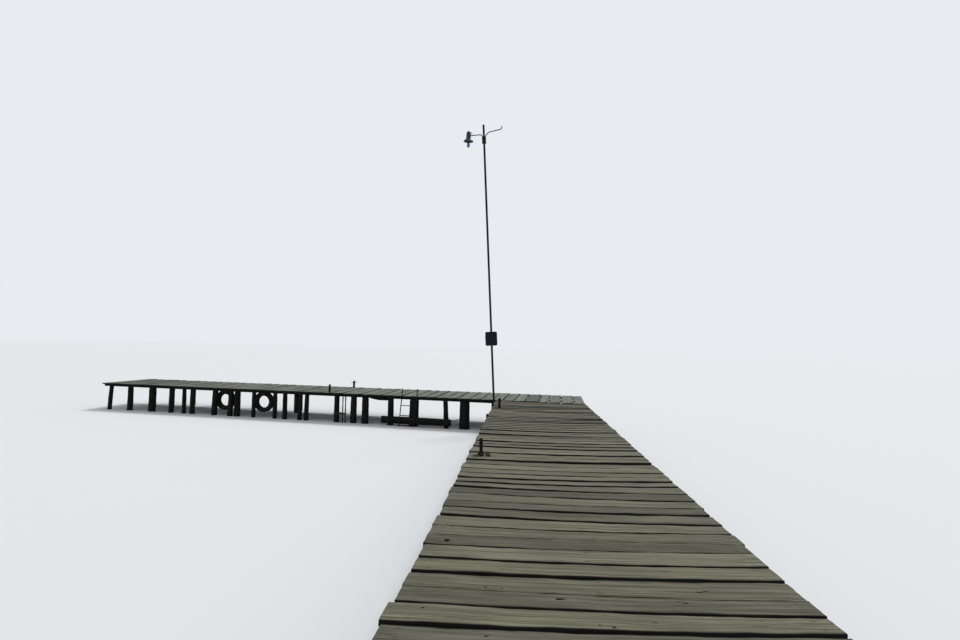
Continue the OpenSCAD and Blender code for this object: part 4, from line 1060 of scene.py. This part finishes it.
def strap_path(node):
    """From the strap's top beside the tyre down to its widest place, in along the sidewall to
    the bead, level under the bead, and the same way back on the other side."""
    middle, axis, r_out, half = tyre_frame(node)
    out = half + 0.0028
    top = strap_top - middle[2]
    down = [
        (out, top), (out, r_out * 0.9), (out, 0.262), (half * 0.9 + 0.004, 0.226),
        (half * 0.62 + 0.005, 0.1945), (half * 0.4, 0.1905),
    ]
    line = np.array(down + [(0, 0.19)] + [(-x, z) for x, z in down[::-1]])
    path = smooth_path(line, 0.008)
    route = middle + path[:, :1] * axis + path[:, 1:] * np.array([0, 0, 1.0])
    return route, np.array([axis[1], -axis[0], 0])


webbing = webbing_material()
strap_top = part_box("tyre_straps")[1].z
strap_shells = [flat_band(*strap_path(node), strap_width, strap_thick) for node in tyre_nodes]
add_piece("fender_straps", strap_shells, webbing, ["tyre_straps"])

# Ladder: two leaning rails of round steel bar in front of the fender beam, with three level
# rungs welded between them. Old dark paint, rusted through in spots and low down.
rung_r, rung_dome, rung_weld = 0.0117, 0.012, 0.003


def round_bar(path, r, around=16, swell=0.0):
    """A round bar along a path: its ends are domed by a quarter circle over half its radius,
    and swell thickens it just inside both ends, as a weld does."""
    path = np.asarray(path, float)
    ahead = unit(np.gradient(path, axis=0))
    run = run_along(path)
    up = np.array([0.02, 1, 0.01]) if np.abs(ahead[:, 1]).max() < 0.8 else np.array([0.01, 0.02, 1])
    side = unit(np.cross(up, ahead))
    third = np.cross(ahead, side)
    end = np.minimum(run, run[-1] - run)
    t = np.clip(1 - end / (0.5 * r), 0, 1)
    radius = r * np.sqrt(1 - 0.96 * t**2) * (1 + swell * np.exp(-((end / 0.007) ** 2)))
    angle = full_turn(around)
    ring = side[:, None] * np.cos(angle)[:, None] + third[:, None] * np.sin(angle)[:, None]
    grain = np.stack(np.broadcast_arrays(run[:, None], angle * r, end[:, None]), -1)
    return closed_tube(path[:, None] + radius[:, None, None] * ring, grain=grain)


def straight(a, b, r, step=0.03):
    """Points from a to b, set closer at both ends for the domes."""
    length = np.linalg.norm(np.subtract(b, a))
    close = np.array([0, 0.06, 0.15, 0.3, 0.5, 1.2]) * r
    inner = np.linspace(2 * r, length - 2 * r, max(2, int(length / step)))
    run = np.concatenate([close, inner, length - close[::-1]])
    return a + (np.asarray(b) - a) * (run / length)[:, None]


def painted_material(name, paint, worn, rust, rough=0.6, rusting=(0.56, 0.7)):
    """Painted steel: the paint fades in patches, and rust comes through in spots, with brown
    runs under them, and low down."""
    material, tree, shader = new_material(name, metallic=0.1, Specular_IOR_Level=0.15)
    place = jetty_place(tree)
    patch = noise(tree, stretched(tree, place, 12, 12, 5), 4)
    spots = noise(tree, place, 6, 0.65, scale=60)
    runs = noise(tree, stretched(tree, place, 60, 60, 4), 3)
    low = graded(tree, split(tree, place)[2], 0.1, 0.5, 0.16, 0.0)
    spotty = calc(tree, "MULTIPLY", spots, 0.65)
    rusty = calc(tree, "ADD", calc(tree, "MULTIPLY_ADD", runs, 0.35, spotty), low)
    colour = mixed(tree, graded(tree, patch, 0.35, 0.7), srgb(*paint), srgb(*worn))
    mask = graded(tree, rusty, *rusting)
    colour = mixed(tree, mask, colour, srgb(*rust))
    height = calc(tree, "MULTIPLY_ADD", mask, 0.5, calc(tree, "MULTIPLY", spots, 0.3))
    finish_surface(tree, shader, colour, graded(tree, mask, 0, 1, rough, 0.9), height, 0.0012, 0.6)
    return material


ladder_paint = painted_material(
    "ladder paint", (14, 17, 19), (27, 27, 26), (46, 31, 24), rusting=(0.5, 0.62)
)
rail_shells = []
for points in solids_of("ladder_rails"):
    (foot, _), (head, _) = log_ends(points)
    rail_r = np.ptp(points[:, :2] @ arm_across) / 2
    rail_shells.append(round_bar(straight(foot, head, rail_r, 0.05), rail_r, 20))
add_piece("ladder_side_rails", rail_shells, ladder_paint, ["ladder_rails"])
rung_shells = []
flat_along = np.append(arm_along, 0)
for points in solids_of("ladder_rungs"):
    run = points @ flat_along
    middle = (points.min(axis=0) + points.max(axis=0)) / 2
    reach = (run.min() - rung_weld, run.max() + rung_weld)
    ends = [middle + flat_along * (v - middle @ flat_along) for v in reach]
    rung_shells.append(round_bar(straight(*ends, rung_dome, 0.02), rung_r, 16, swell=0.3))
add_piece("ladder_steps", rung_shells, ladder_paint, ["ladder_rungs"])

# Stake lashing: four tight turns of laid rope round a front pile and the two thin stakes
# beside it. It is tied fast, so it is part of the jetty and not a loose rope.


def round_outline(centres, radii, count):
    """A tight line round circles: in each direction it touches the circle that reaches
    furthest, so straight runs lie between the circles."""
    angle = full_turn(count)
    way = np.stack([np.cos(angle), np.sin(angle)], -1)
    centres, radii = np.asarray(centres, float), np.asarray(radii, float)
    best = (way @ centres.T + radii).argmax(axis=1)
    return centres[best] + radii[best][:, None] * way, way


def even_path(points, step, rounds=2):
    """A path resampled evenly along straight lines, then smoothed by averaging neighbours."""
    run = run_along(points)
    even = np.linspace(0, run[-1], int(run[-1] / step) + 1)
    path = np.stack([np.interp(even, run, points[:, i]) for i in range(points.shape[1])], -1)
    for _ in range(rounds):
        path[1:-1] = (path[:-2] + 2 * path[1:-1] + path[2:]) / 4
    return path


lashing_low, lashing_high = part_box("stake_lashing")
lashing_middle = (lashing_low + lashing_high) / 2
tied = [log_ends(p) for p in solids_of("thin_stakes") + solids_of("arm_front_piles")]
tied_at = []
for (foot, foot_r), (head, head_r) in tied:
    share = lashing_middle.z / head[2]
    at, r = foot + (head - foot) * share, foot_r + (head_r - foot_r) * share
    if lashing_low.x < at[0] < lashing_high.x and lashing_low.y < at[1] < lashing_high.y:
        tied_at.append((at[:2], r))
lashing_turns = 4
outline, _ = round_outline([c for c, _ in tied_at], [r + rope_d / 2 for _, r in tied_at], 72)
winding = np.concatenate([outline] * lashing_turns)
rise = np.linspace(lashing_low.z + rope_d / 2, lashing_high.z - rope_d / 2, len(winding))
lashing_path = even_path(np.column_stack([winding, rise]), 0.005)
add_piece("stake_lashing_rope", [laid_rope(lashing_path, rope_d)], fibre, ["stake_lashing"])

# Lamp pole: a straight capped steel tube that leans to the left, strapped to its pile by two
# flat bands. Its grey paint is dull, with rust spots.
band_slack, band_grip, band_thick = 0.0022, 0.0005, 0.0045
(pole_foot, _), (pole_head, _) = log_ends(solids_of("lamp_pole")[0])
pole_low, pole_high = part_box("lamp_pole")
pole_r = (pole_high.y - pole_low.y) / 2
pole_axis = unit(pole_head - pole_foot)
pole_right = np.array([pole_axis[2], 0, -pole_axis[0]])
pole_front = np.array([0, -1.0, 0])
pole_base = pole_foot + pole_axis * deck_top / pole_axis[2]


def on_pole(right, front, up):
    """Points in the pole's own frame: to its right, towards the shore, and up along it from
    the deck."""
    right, front, up = (a[..., None] for a in np.broadcast_arrays(right, front, up))
    return pole_base + right * pole_right + front * pole_front + up * pole_axis


pole_paint = painted_material("pole paint", (14, 18, 22), (30, 33, 36), (48, 34, 27))
pole_length = float((pole_head - pole_base) @ pole_axis)
tube = np.linspace(-deck_top / pole_axis[2], pole_length - 0.016, 70)
h = np.concatenate([tube, pole_length - np.array([0.008, 0.003, 0])])
r = np.full(len(h), pole_r)
r[-3:] *= (0.985, 0.93, 0.78)
angle = full_turn(28)
pole_grid = on_pole(r[:, None] * np.cos(angle), r[:, None] * np.sin(angle), h[:, None])
level = pole_grid[0, :, 2:] / pole_axis[2]
pole_grid[0] -= level * pole_axis
add_piece("pole_tube", [closed_tube(pole_grid)], pole_paint, ["lamp_pole"])


def belt(centres, radii, thick, at_low, at_high):
    """A flat band pulled round circles: six lines carried along the tight line round them.
    at_low and at_high put points of the plan at the band's lower and upper edge."""
    inside, way = round_outline(centres, radii, 96)
    rows = []
    for out, up in [(0, 0.04), (0.3, 0), (1, 0.04), (1, 0.96), (0.7, 1), (0, 0.96)]:
        p = inside + way * thick * out
        rows.append(at_low(p) * (1 - up) + at_high(p) * up)
    return closed_ring(np.stack(rows, 1))


def level_at(z):
    """Puts points of the plan at a height."""
    return lambda p: np.column_stack([p, np.full(len(p), z)])


pile_ends = [log_ends(p) for p in solids_of("arm_front_piles")]
nearest = min(pile_ends, key=lambda ends: np.hypot(*(ends[1][0][:2] - pole_foot[:2])))
(_, foot_r), (head, head_r) = nearest
band_shells = []
for points in solids_of("pole_straps"):
    z0, z1 = points[:, 2].min(), points[:, 2].max()
    pile_r = foot_r + (head_r - foot_r) * (z0 / head[2])
    axis_at = pole_foot + pole_axis * (z0 + z1) / 2 / pole_axis[2]
    radii = [pole_r + band_slack, pile_r + band_grip]
    band = belt([axis_at[:2], head[:2]], radii, band_thick, level_at(z0), level_at(z1))
    band_shells.append(band)
add_piece("pole_bands", band_shells, pole_paint, ["pole_straps"])

# Arms: two bent steel bars held against the pole by two clamp bands. The left one carries
# the lamp, the right one is empty and its end turns up.
clamp_up, bar_r, bend_r = 7.51, 0.0135, 0.06
clamp_thick, clamp_height, clamp_lows, snug = 0.0038, 0.03, (-0.11, 0.02), 0.0003
leg_at = pole_r + bar_r + snug


def bent_bar(steps, side, stop=None):
    """A round bar that starts beside the pole and bends in the pole's plane. Each step is a
    straight length in metres and a turn in degrees made in three equal parts."""
    x, up, turn = leg_at, clamp_up - 0.13, 0.0
    corners = [(x, up)]
    for length, bend in steps:
        parts = 3 if bend else 1
        for k in range(parts):
            go = bend_r * math.radians(abs(bend)) / 3 if k else length
            x, up = x + go * math.sin(turn), up + go * math.cos(turn)
            corners.append((x, up))
            turn += math.radians(bend) / parts
    line = even_path(np.array(corners), 0.006, 6)
    path = on_pole(side * line[:, 0], 0.0, line[:, 1])
    if stop is not None:
        path = path[path[:, 0] > stop]
    return round_bar(path, bar_r, 18)


empty_steps = [(0.215, 43), (0.11, 36), (0.345, -74), (0.06, 0)]
lamp_steps = [(0.215, 34), (0.02, 58), (0.31, 0)]
add_piece("empty_lamp_arm", [bent_bar(empty_steps, 1)], pole_paint, ["empty_arm"])
lamp_arm_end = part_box("lamp_arm")[0].x - 0.004
lamp_arm_bar = bent_bar(lamp_steps, -1, lamp_arm_end)
add_piece("lamp_carrying_arm", [lamp_arm_bar], pole_paint, ["lamp_arm"])


def clamp_edge(up):
    """Puts points of the pole's cross-section at a height along it."""
    return lambda p: on_pole(p[:, 0], p[:, 1], up)


clamp_circles = [(-leg_at, 0), (0, 0), (leg_at, 0)]
clamp_radii = [bar_r + snug, pole_r + snug, bar_r + snug]
clamp_shells = []
for low in clamp_lows:
    edges = clamp_edge(clamp_up + low), clamp_edge(clamp_up + low + clamp_height)
    clamp_shells.append(belt(clamp_circles, clamp_radii, clamp_thick, *edges))
add_piece("clamp_bands", clamp_shells, pole_paint, ["arm_clamps"])

# Lamp: a turned steel housing with a nut on its crown over a spun bell shade with a rolled
# rim, both in dark green enamel. A ceramic socket holds a clear bulb, and a ceramic spool
# sits beside the crown.


def turned(profile, centre, axis=(0, 0, 1), around=48, ring=False):
    """A profile of (radius, height) carried round an axis; ring joins its last point to its
    first, and otherwise both ends close on the axis."""
    axis = unit(axis)
    side = unit(np.cross(axis, (0, 1, 0)))
    third = np.cross(axis, side)
    angle = full_turn(around)
    spin = side * np.cos(angle)[:, None] + third * np.sin(angle)[:, None]
    p = np.asarray(profile, float)
    grid = np.asarray(centre) + p[:, 1, None, None] * axis + p[:, 0, None, None] * spin
    return (closed_ring if ring else closed_tube)(grid)


housing_low, housing_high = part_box("lamp_housing")
housing_foot = foot_of("lamp_housing")
housing_r, housing_h = (housing_high.y - housing_low.y) / 2, housing_high.z - housing_low.z
crown = [(1, 0), (1, 0.18), (0.96, 0.5), (0.9, 0.66), (0.76, 0.8), (0.52, 0.9), (0.3, 0.94)]
skin = smooth_path([(housing_r * a, housing_h * b) for a, b in crown], 0.008)
nut = [(0.011, housing_h * 0.94), (0.011, housing_h * 0.99), (0.009, housing_h), (0.001, housing_h)]
hollow = skin[::-1] * (0.95, 0.97)
housing_line = np.concatenate([[(0.001, housing_h * 0.9)], hollow, skin, nut])
shade_low, shade_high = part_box("lamp_shade")
shade_h, shade_r, roll_r = shade_high.z - shade_low.z, (shade_high.y - shade_low.y) / 2, 0.0045
t = np.linspace(0.02, 1, 22)
bell_r = housing_r + (shade_r - housing_r) * t**1.08 - roll_r
bell = np.stack([bell_r, shade_h - (shade_h - 2 * roll_r) * t], -1)
roll_turn = np.radians(np.arange(60, -181, -30))
roll = np.stack([shade_r - roll_r + roll_r * np.cos(roll_turn), roll_r + roll_r * np.sin(roll_turn)], -1)
flange = [(housing_r - 0.0075, shade_h), (housing_r, shade_h), (housing_r, shade_h - 0.003)]
shade_line = np.concatenate([flange, bell, roll, bell[::-1] - (0.003, 0)])
shade_foot = housing_foot * (1, 1, 0) + (0, 0, shade_low.z)


def enamel_material():
    """Dark green enamel, glossy where it is whole, chipped to rust in specks."""
    material, tree, shader = new_material("green enamel", Coat_Weight=0.1, Specular_IOR_Level=0.3)
    place = jetty_place(tree)
    chips = noise(tree, place, 5, 0.6, scale=45)
    runs = noise(tree, stretched(tree, place, 40, 40, 6), 3)
    colour = mixed(tree, graded(tree, runs, 0.35, 0.7), srgb(6, 34, 43), srgb(12, 48, 56))
    chip = graded(tree, chips, 0.66, 0.7)
    colour = mixed(tree, chip, colour, srgb(58, 40, 30))
    finish_surface(tree, shader, colour, graded(tree, chip, 0, 1, 0.34, 0.9), chip, 0.0006, 0.5)
    return material


green_enamel = enamel_material()
add_piece("lamp_cap", [turned(housing_line, housing_foot)], green_enamel, ["lamp_housing"])
shade_shell = turned(shade_line, shade_foot, around=64, ring=True)
add_piece("lamp_bell", [shade_shell], green_enamel, ["lamp_shade"])


def ceramic_material():
    """Pale glazed ceramic with grey dust in faint clouds."""
    material, tree, shader = new_material("glazed ceramic", Coat_Weight=0.4)
    place = jetty_place(tree)
    dust = noise(tree, place, 4, 0.6, scale=40)
    colour = mixed(tree, graded(tree, dust, 0.4, 0.75), srgb(168, 172, 168), srgb(112, 113, 106))
    finish_surface(tree, shader, colour, 0.3)
    return material


glazed_ceramic = ceramic_material()
socket_low, socket_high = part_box("lamp_socket")
socket_l, socket_r, neck_r, socket_rib = 0.08, 0.023, 0.011, 0.013
socket_h = socket_high.z - socket_low.z
rib = [(socket_r, 0.008), (0.0212, 0.0105), (0.0212, 0.0125), (socket_r, 0.015)]
socket_line = [(0.001, 0), (0.021, 0), (socket_r, 0.002)]
socket_line += [(r, up + socket_rib * k) for k in range(5) for r, up in rib]
socket_line += [(socket_r, socket_l - 0.003), (0.02, socket_l), (neck_r, socket_l)]
socket_line += [(neck_r, socket_h), (0.001, socket_h)]
socket_foot = housing_foot * (1, 1, 0) + (0, 0, socket_low.z)
socket_shell = turned(socket_line, socket_foot, around=32)
add_piece("bulb_socket", [socket_shell], glazed_ceramic, ["lamp_socket"])
spool_low, spool_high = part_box("insulator")
spool_y, spool_z = (spool_low.y + spool_high.y) / 2, (spool_low.z + spool_high.z) / 2
spool_foot = np.array([housing_foot[0] + housing_r * 0.8, spool_y, spool_z])
spool_r, spool_l = 0.02, 0.056
spool_steps = [
    (0.05, 0), (0.5, 0), (0.5, 0.28), (0.9, 0.31), (1, 0.36), (1, 0.5), (0.8, 0.56), (0.6, 0.62),
    (0.6, 0.66), (0.85, 0.7), (1, 0.76), (1, 0.9), (0.85, 0.95), (0.5, 1), (0.03, 1),
]
spool_line = [(spool_r * a, spool_l * b) for a, b in spool_steps]
spool_shell = turned(spool_line, spool_foot, (1, 0, 0), 32)
add_piece("wire_spool", [spool_shell], glazed_ceramic, ["insulator"])

bulb_low, bulb_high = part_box("lamp_bulb")
bulb_r, bulb_l = (bulb_high.y - bulb_low.y) / 2, bulb_high.z - bulb_low.z
low_turn, high_turn = np.radians(np.arange(-88, 1, 11)), np.radians(np.arange(0, 76, 12.5))
round_r, cap_r = 0.024, 0.017
bulge, body_top = bulb_r - round_r, bulb_l * 0.66 - round_r
bulb_line = np.concatenate([
    [(0.002, 0)],
    np.stack([bulge + round_r * np.cos(low_turn), round_r + round_r * np.sin(low_turn)], -1),
    np.stack([bulge + round_r * np.cos(high_turn), body_top + round_r * np.sin(high_turn)], -1),
    [(0.019, bulb_l * 0.7), (cap_r, bulb_l * 0.74), (cap_r, bulb_l - 0.001)],
])
inside_line = bulb_line[::-1] * (0.965, 0.985) + (0, 0.0014)
bulb_foot = housing_foot * (1, 1, 0) + (0, 0, bulb_low.z)
clear_glass, tree, shader = new_material("bulb glass", Roughness=0.03, IOR=1.45, Transmission_Weight=1.0)
shader.inputs["Base Color"].default_value = srgb(112, 142, 176)
glass_shell = turned(np.concatenate([bulb_line, inside_line]), bulb_foot)
add_piece("clear_bulb", [glass_shell], clear_glass, ["lamp_bulb"])
coil_half = 0.012
wire_up = np.array([
    (-coil_half, 0, 0.1), (-coil_half, 0, 0.15), (coil_half, 0, 0.15), (coil_half, 0, 0.1),
])
zigzag = [(x, 0.004 * (-1) ** k, 0.098) for k, x in enumerate(np.linspace(-coil_half, coil_half, 9))]
filament = even_path(np.concatenate([wire_up[1::-1], zigzag, wire_up[3:1:-1]]) + bulb_foot, 0.002, 1)
stem = [(0.001, 0.118), (0.004, 0.12), (0.006, 0.15), (0.012, 0.184), (0.001, 0.186)]
add_piece("bulb_filament", [round_bar(filament, 0.0008, 6)], rusted_iron)
add_piece("bulb_stem", [turned(stem, bulb_foot, around=20)], glazed_ceramic)

# Switch box: a pressed steel box with round corners on the shore side of the pole, with a
# hinged door, a swing latch on its left edge and two brackets that clamp to the pole.
box_low, box_w, box_h, box_round = 1.545, 0.33, 0.395, 0.04
box_up = box_low + box_h / 2
box_back, box_deep, door_thick = 0.054, 0.138, 0.0117
hinge_up, hinge_half, hinge_r = 0.11, 0.025, 0.0045
bolt_gap, bolt_r, hoop_slack, bolt_end = 0.011, 0.0038, 0.0042, 0.0295


def rounded_line(w, h, r, count=9):
    """A rectangle with round corners: a quarter circle at each corner, in order round it."""
    turn = np.concatenate([np.linspace(a, a + math.pi / 2, count) for a in np.arange(4) * math.pi / 2])
    sign = np.repeat([(1, 1), (-1, 1), (-1, -1), (1, -1)], count, axis=0)
    return sign * (w / 2 - r, h / 2 - r) + r * np.stack([np.cos(turn), np.sin(turn)], -1)


def pressed_box(steps, w, h, r, right=0.0, up=0.0):
    """Rounded outlines set one before the other in front of the pole. Each step is how far
    the outline is inset and how far it stands out from the box's back."""
    grid = []
    for inset, out in steps:
        p = rounded_line(w - 2 * inset, h - 2 * inset, max(r - inset, 0.0006))
        grid.append(on_pole(right + p[:, 0], box_back + out, box_up + up + p[:, 1]))
    return closed_tube(np.array(grid))


box_paint = painted_material(
    "box paint", (17, 21, 26), (28, 32, 37), (42, 32, 27), 0.55, (0.6, 0.68)
)
body_steps = [
    (0.012, 0), (0.003, 0.001), (0, 0.005), (0, box_deep - 0.006), (0.0012, box_deep - 0.005),
    (0.0012, box_deep),
]
body_shell = pressed_box(body_steps, box_w, box_h, box_round)
add_piece("switch_box_body", [body_shell], box_paint, ["switch_box"])
front = box_deep + snug
door_steps = [
    (0.004, front), (0, front + 0.001), (0, front + 0.008), (0.0015, front + 0.0107),
    (0.004, front + door_thick), (0.026, front + door_thick), (0.029, front + 0.0105),
    (0.031, front + 0.0085), (0.036, front + 0.008),
]
latch_steps = [
    (0.001, box_deep - 0.019), (0, box_deep - 0.018), (0, front + 0.010), (0.001, front + 0.0112),
]
plate_steps = [(0.001, front + 0.008), (0, front + 0.009), (0, front + 0.0105), (0.001, front + 0.0115)]
latch_up, left_edge = 0.012 + 0.017, -box_w / 2
door_shells = [
    pressed_box(door_steps, box_w, box_h, box_round),
    pressed_box(latch_steps, 0.0075, 0.034, 0.003, left_edge - 0.004, latch_up),
    pressed_box(plate_steps, 0.03, 0.02, 0.006, left_edge + 0.009, latch_up),
]
add_piece("box_door", door_shells, box_paint, ["switch_box_door"])
hinges = []
for middle in (-hinge_up, hinge_up):
    ends = [
        on_pole(box_w / 2 - 0.002, box_back + box_deep, box_up + middle + half)
        for half in (-hinge_half, hinge_half)
    ]
    hinges.append(round_bar(straight(*ends, hinge_r), hinge_r, 12))
add_piece("box_hinges", hinges, box_paint)

bracket_steps = [(0.002, -0.0245), (0, -0.0225), (0, -0.0015), (0.001, -0.0002)]
hoop, hoop_r = np.linspace(0, math.pi, 19), pole_r + hoop_slack
half_round = np.stack([-hoop_r * np.cos(hoop), -hoop_r * np.sin(hoop)], -1)
loop = np.concatenate([[(-hoop_r, bolt_end)], half_round, [(hoop_r, bolt_end)]])
bracket_shells = []
for share in (0.2, 0.8):
    up = box_low + share * box_h + 0.02 - box_up
    bracket_shells.append(pressed_box(bracket_steps, 0.11, 0.036, 0.004, 0, up))
    for bolt in (-bolt_gap, bolt_gap):
        bent = even_path(on_pole(loop[:, 0], loop[:, 1], box_up + up + bolt), 0.004, 0)
        bracket_shells.append(round_bar(bent, bolt_r, 10))
add_piece("box_brackets", bracket_shells, pole_paint, ["switch_box_brackets"])

# Post pin and bolts: a round iron pin through the far mooring post, and hexagon bolts on
# washers where the stringer, the fender beam, the ledger and the clamps are held.
pin_low, pin_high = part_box("post_pin")
pin_at = (np.array(pin_low) + np.array(pin_high)) / 2
pin_half, pin_r = np.array([(pin_high.x - pin_low.x) / 2, 0, 0]), 0.01
pin_bar = round_bar(straight(pin_at - pin_half, pin_at + pin_half, pin_r), pin_r, 16)
add_piece("mooring_pin", [pin_bar], rusted_iron, ["post_pin"])

washer_r, head_r = 0.017, 0.0115
hex_profile = [
    (washer_r, -0.004, 0), (washer_r, 0.0015, 0), (head_r, 0.0018, 1), (head_r, 0.009, 1),
    (0.0095, 0.0105, 1),
]
front_way = -np.append(arm_across, 0)
bolt_edge, bolt_l = 0.03, 0.35
bolt_places, bolt_ways = [], []


def bolt_on(node, count=1, spread=0.0):
    """Bolts through a beam's front face at each front pile that stands behind the beam."""
    solids = solids_of(node)
    for foot, head in pile_ends:
        for p in solids:
            z = (p[:, 2].min() + p[:, 2].max()) / 2
            at = foot[0] + (head[0] - foot[0]) * z / head[0][2]
            run, face = p @ flat_along, (p @ front_way).max()
            behind = face - at @ front_way
            on_beam = run.min() + bolt_edge < at @ flat_along < run.max() - bolt_edge
            if on_beam and 0 < behind < bolt_l:
                for k in range(count):
                    lift = spread * (k - (count - 1) / 2)
                    bolt_places.append(at + front_way * behind + np.array([0, 0, z + lift - at[2]]))
                    bolt_ways.append(front_way)


bolt_on("arm_front_stringer")
bolt_on("fender_beam", 2, 0.11)
bolt_on("joining_ledger")
beam_bolts = fasteners(hex_profile, bolt_places, np.array(bolt_ways), 18, 6)
add_piece("beam_bolts", beam_bolts, rusted_iron)
slant = math.asin((pole_r - bar_r) / leg_at)
small_hex = [(r * 0.42, h * 0.45, flat) for r, h, flat in hex_profile]
clamp_bolts, clamp_ways = [], []
clamp_bolt_at = 0.024
reach = pole_r + snug + clamp_thick - clamp_bolt_at * math.sin(slant)
for bolt_up in (-0.095, 0.035):
    for side in (-1, 1):
        for face in (-1, 1):
            way = math.sin(slant) * side * pole_right + math.cos(slant) * face * pole_front
            at = on_pole(side * clamp_bolt_at, 0.0, clamp_up + bolt_up)
            clamp_bolts.append(at + way * reach)
            clamp_ways.append(way)
clamp_heads = fasteners(small_hex, clamp_bolts, np.array(clamp_ways), 18, 6)
add_piece("clamp_bolts", clamp_heads, rusted_iron)

# Floor and light: a pale floor under the piles, an even pale surround, and one wide soft
# sun from behind on the left. Together they light a level surface so that a colour looks as
# it is written.
floor_size, floor_z = 900, -0.001
surround = 0.56
sun_share = 0.44
sun_height, sun_turn = math.radians(52), math.radians(150)

floor_mesh = bpy.data.meshes.new("floor")
signs = ((-1, -1), (1, -1), (1, 1), (-1, 1))
corners = [(x * floor_size, y * floor_size, floor_z) for x, y in signs]
floor_mesh.from_pydata(corners, [], [(0, 1, 2, 3)])
floor = bpy.data.objects.new("floor", floor_mesh)
bpy.context.scene.collection.objects.link(floor)
pale_floor, tree, shader = new_material("pale floor", Roughness=0.9)
shader.inputs["Base Color"].default_value = srgb(226, 229, 232)
floor_mesh.materials.append(pale_floor)

world = bpy.data.worlds.new("surround")
bpy.context.scene.world = world
world.use_nodes = True
tree = world.node_tree
seen = tree.nodes.new("ShaderNodeLightPath").outputs
through = calc(tree, "MAXIMUM", seen["Is Glossy Ray"], seen["Is Transmission Ray"])
shows = calc(tree, "MAXIMUM", seen["Is Camera Ray"], through)
sky = mixed(tree, shows, (surround, surround, surround, 1), srgb(232, 236, 240))
tree.links.new(sky, tree.nodes["Background"].inputs["Color"])

sun_data = bpy.data.lights.new("sun", "SUN")
sun_data.energy = sun_share * math.pi / math.sin(sun_height)
sun_data.angle = math.radians(18)
sun = bpy.data.objects.new("sun", sun_data)
bpy.context.scene.collection.objects.link(sun)
sun.matrix_world = Matrix.Rotation(sun_turn, 4, "Z") @ Matrix.Rotation(math.pi / 2 - sun_height, 4, "X")
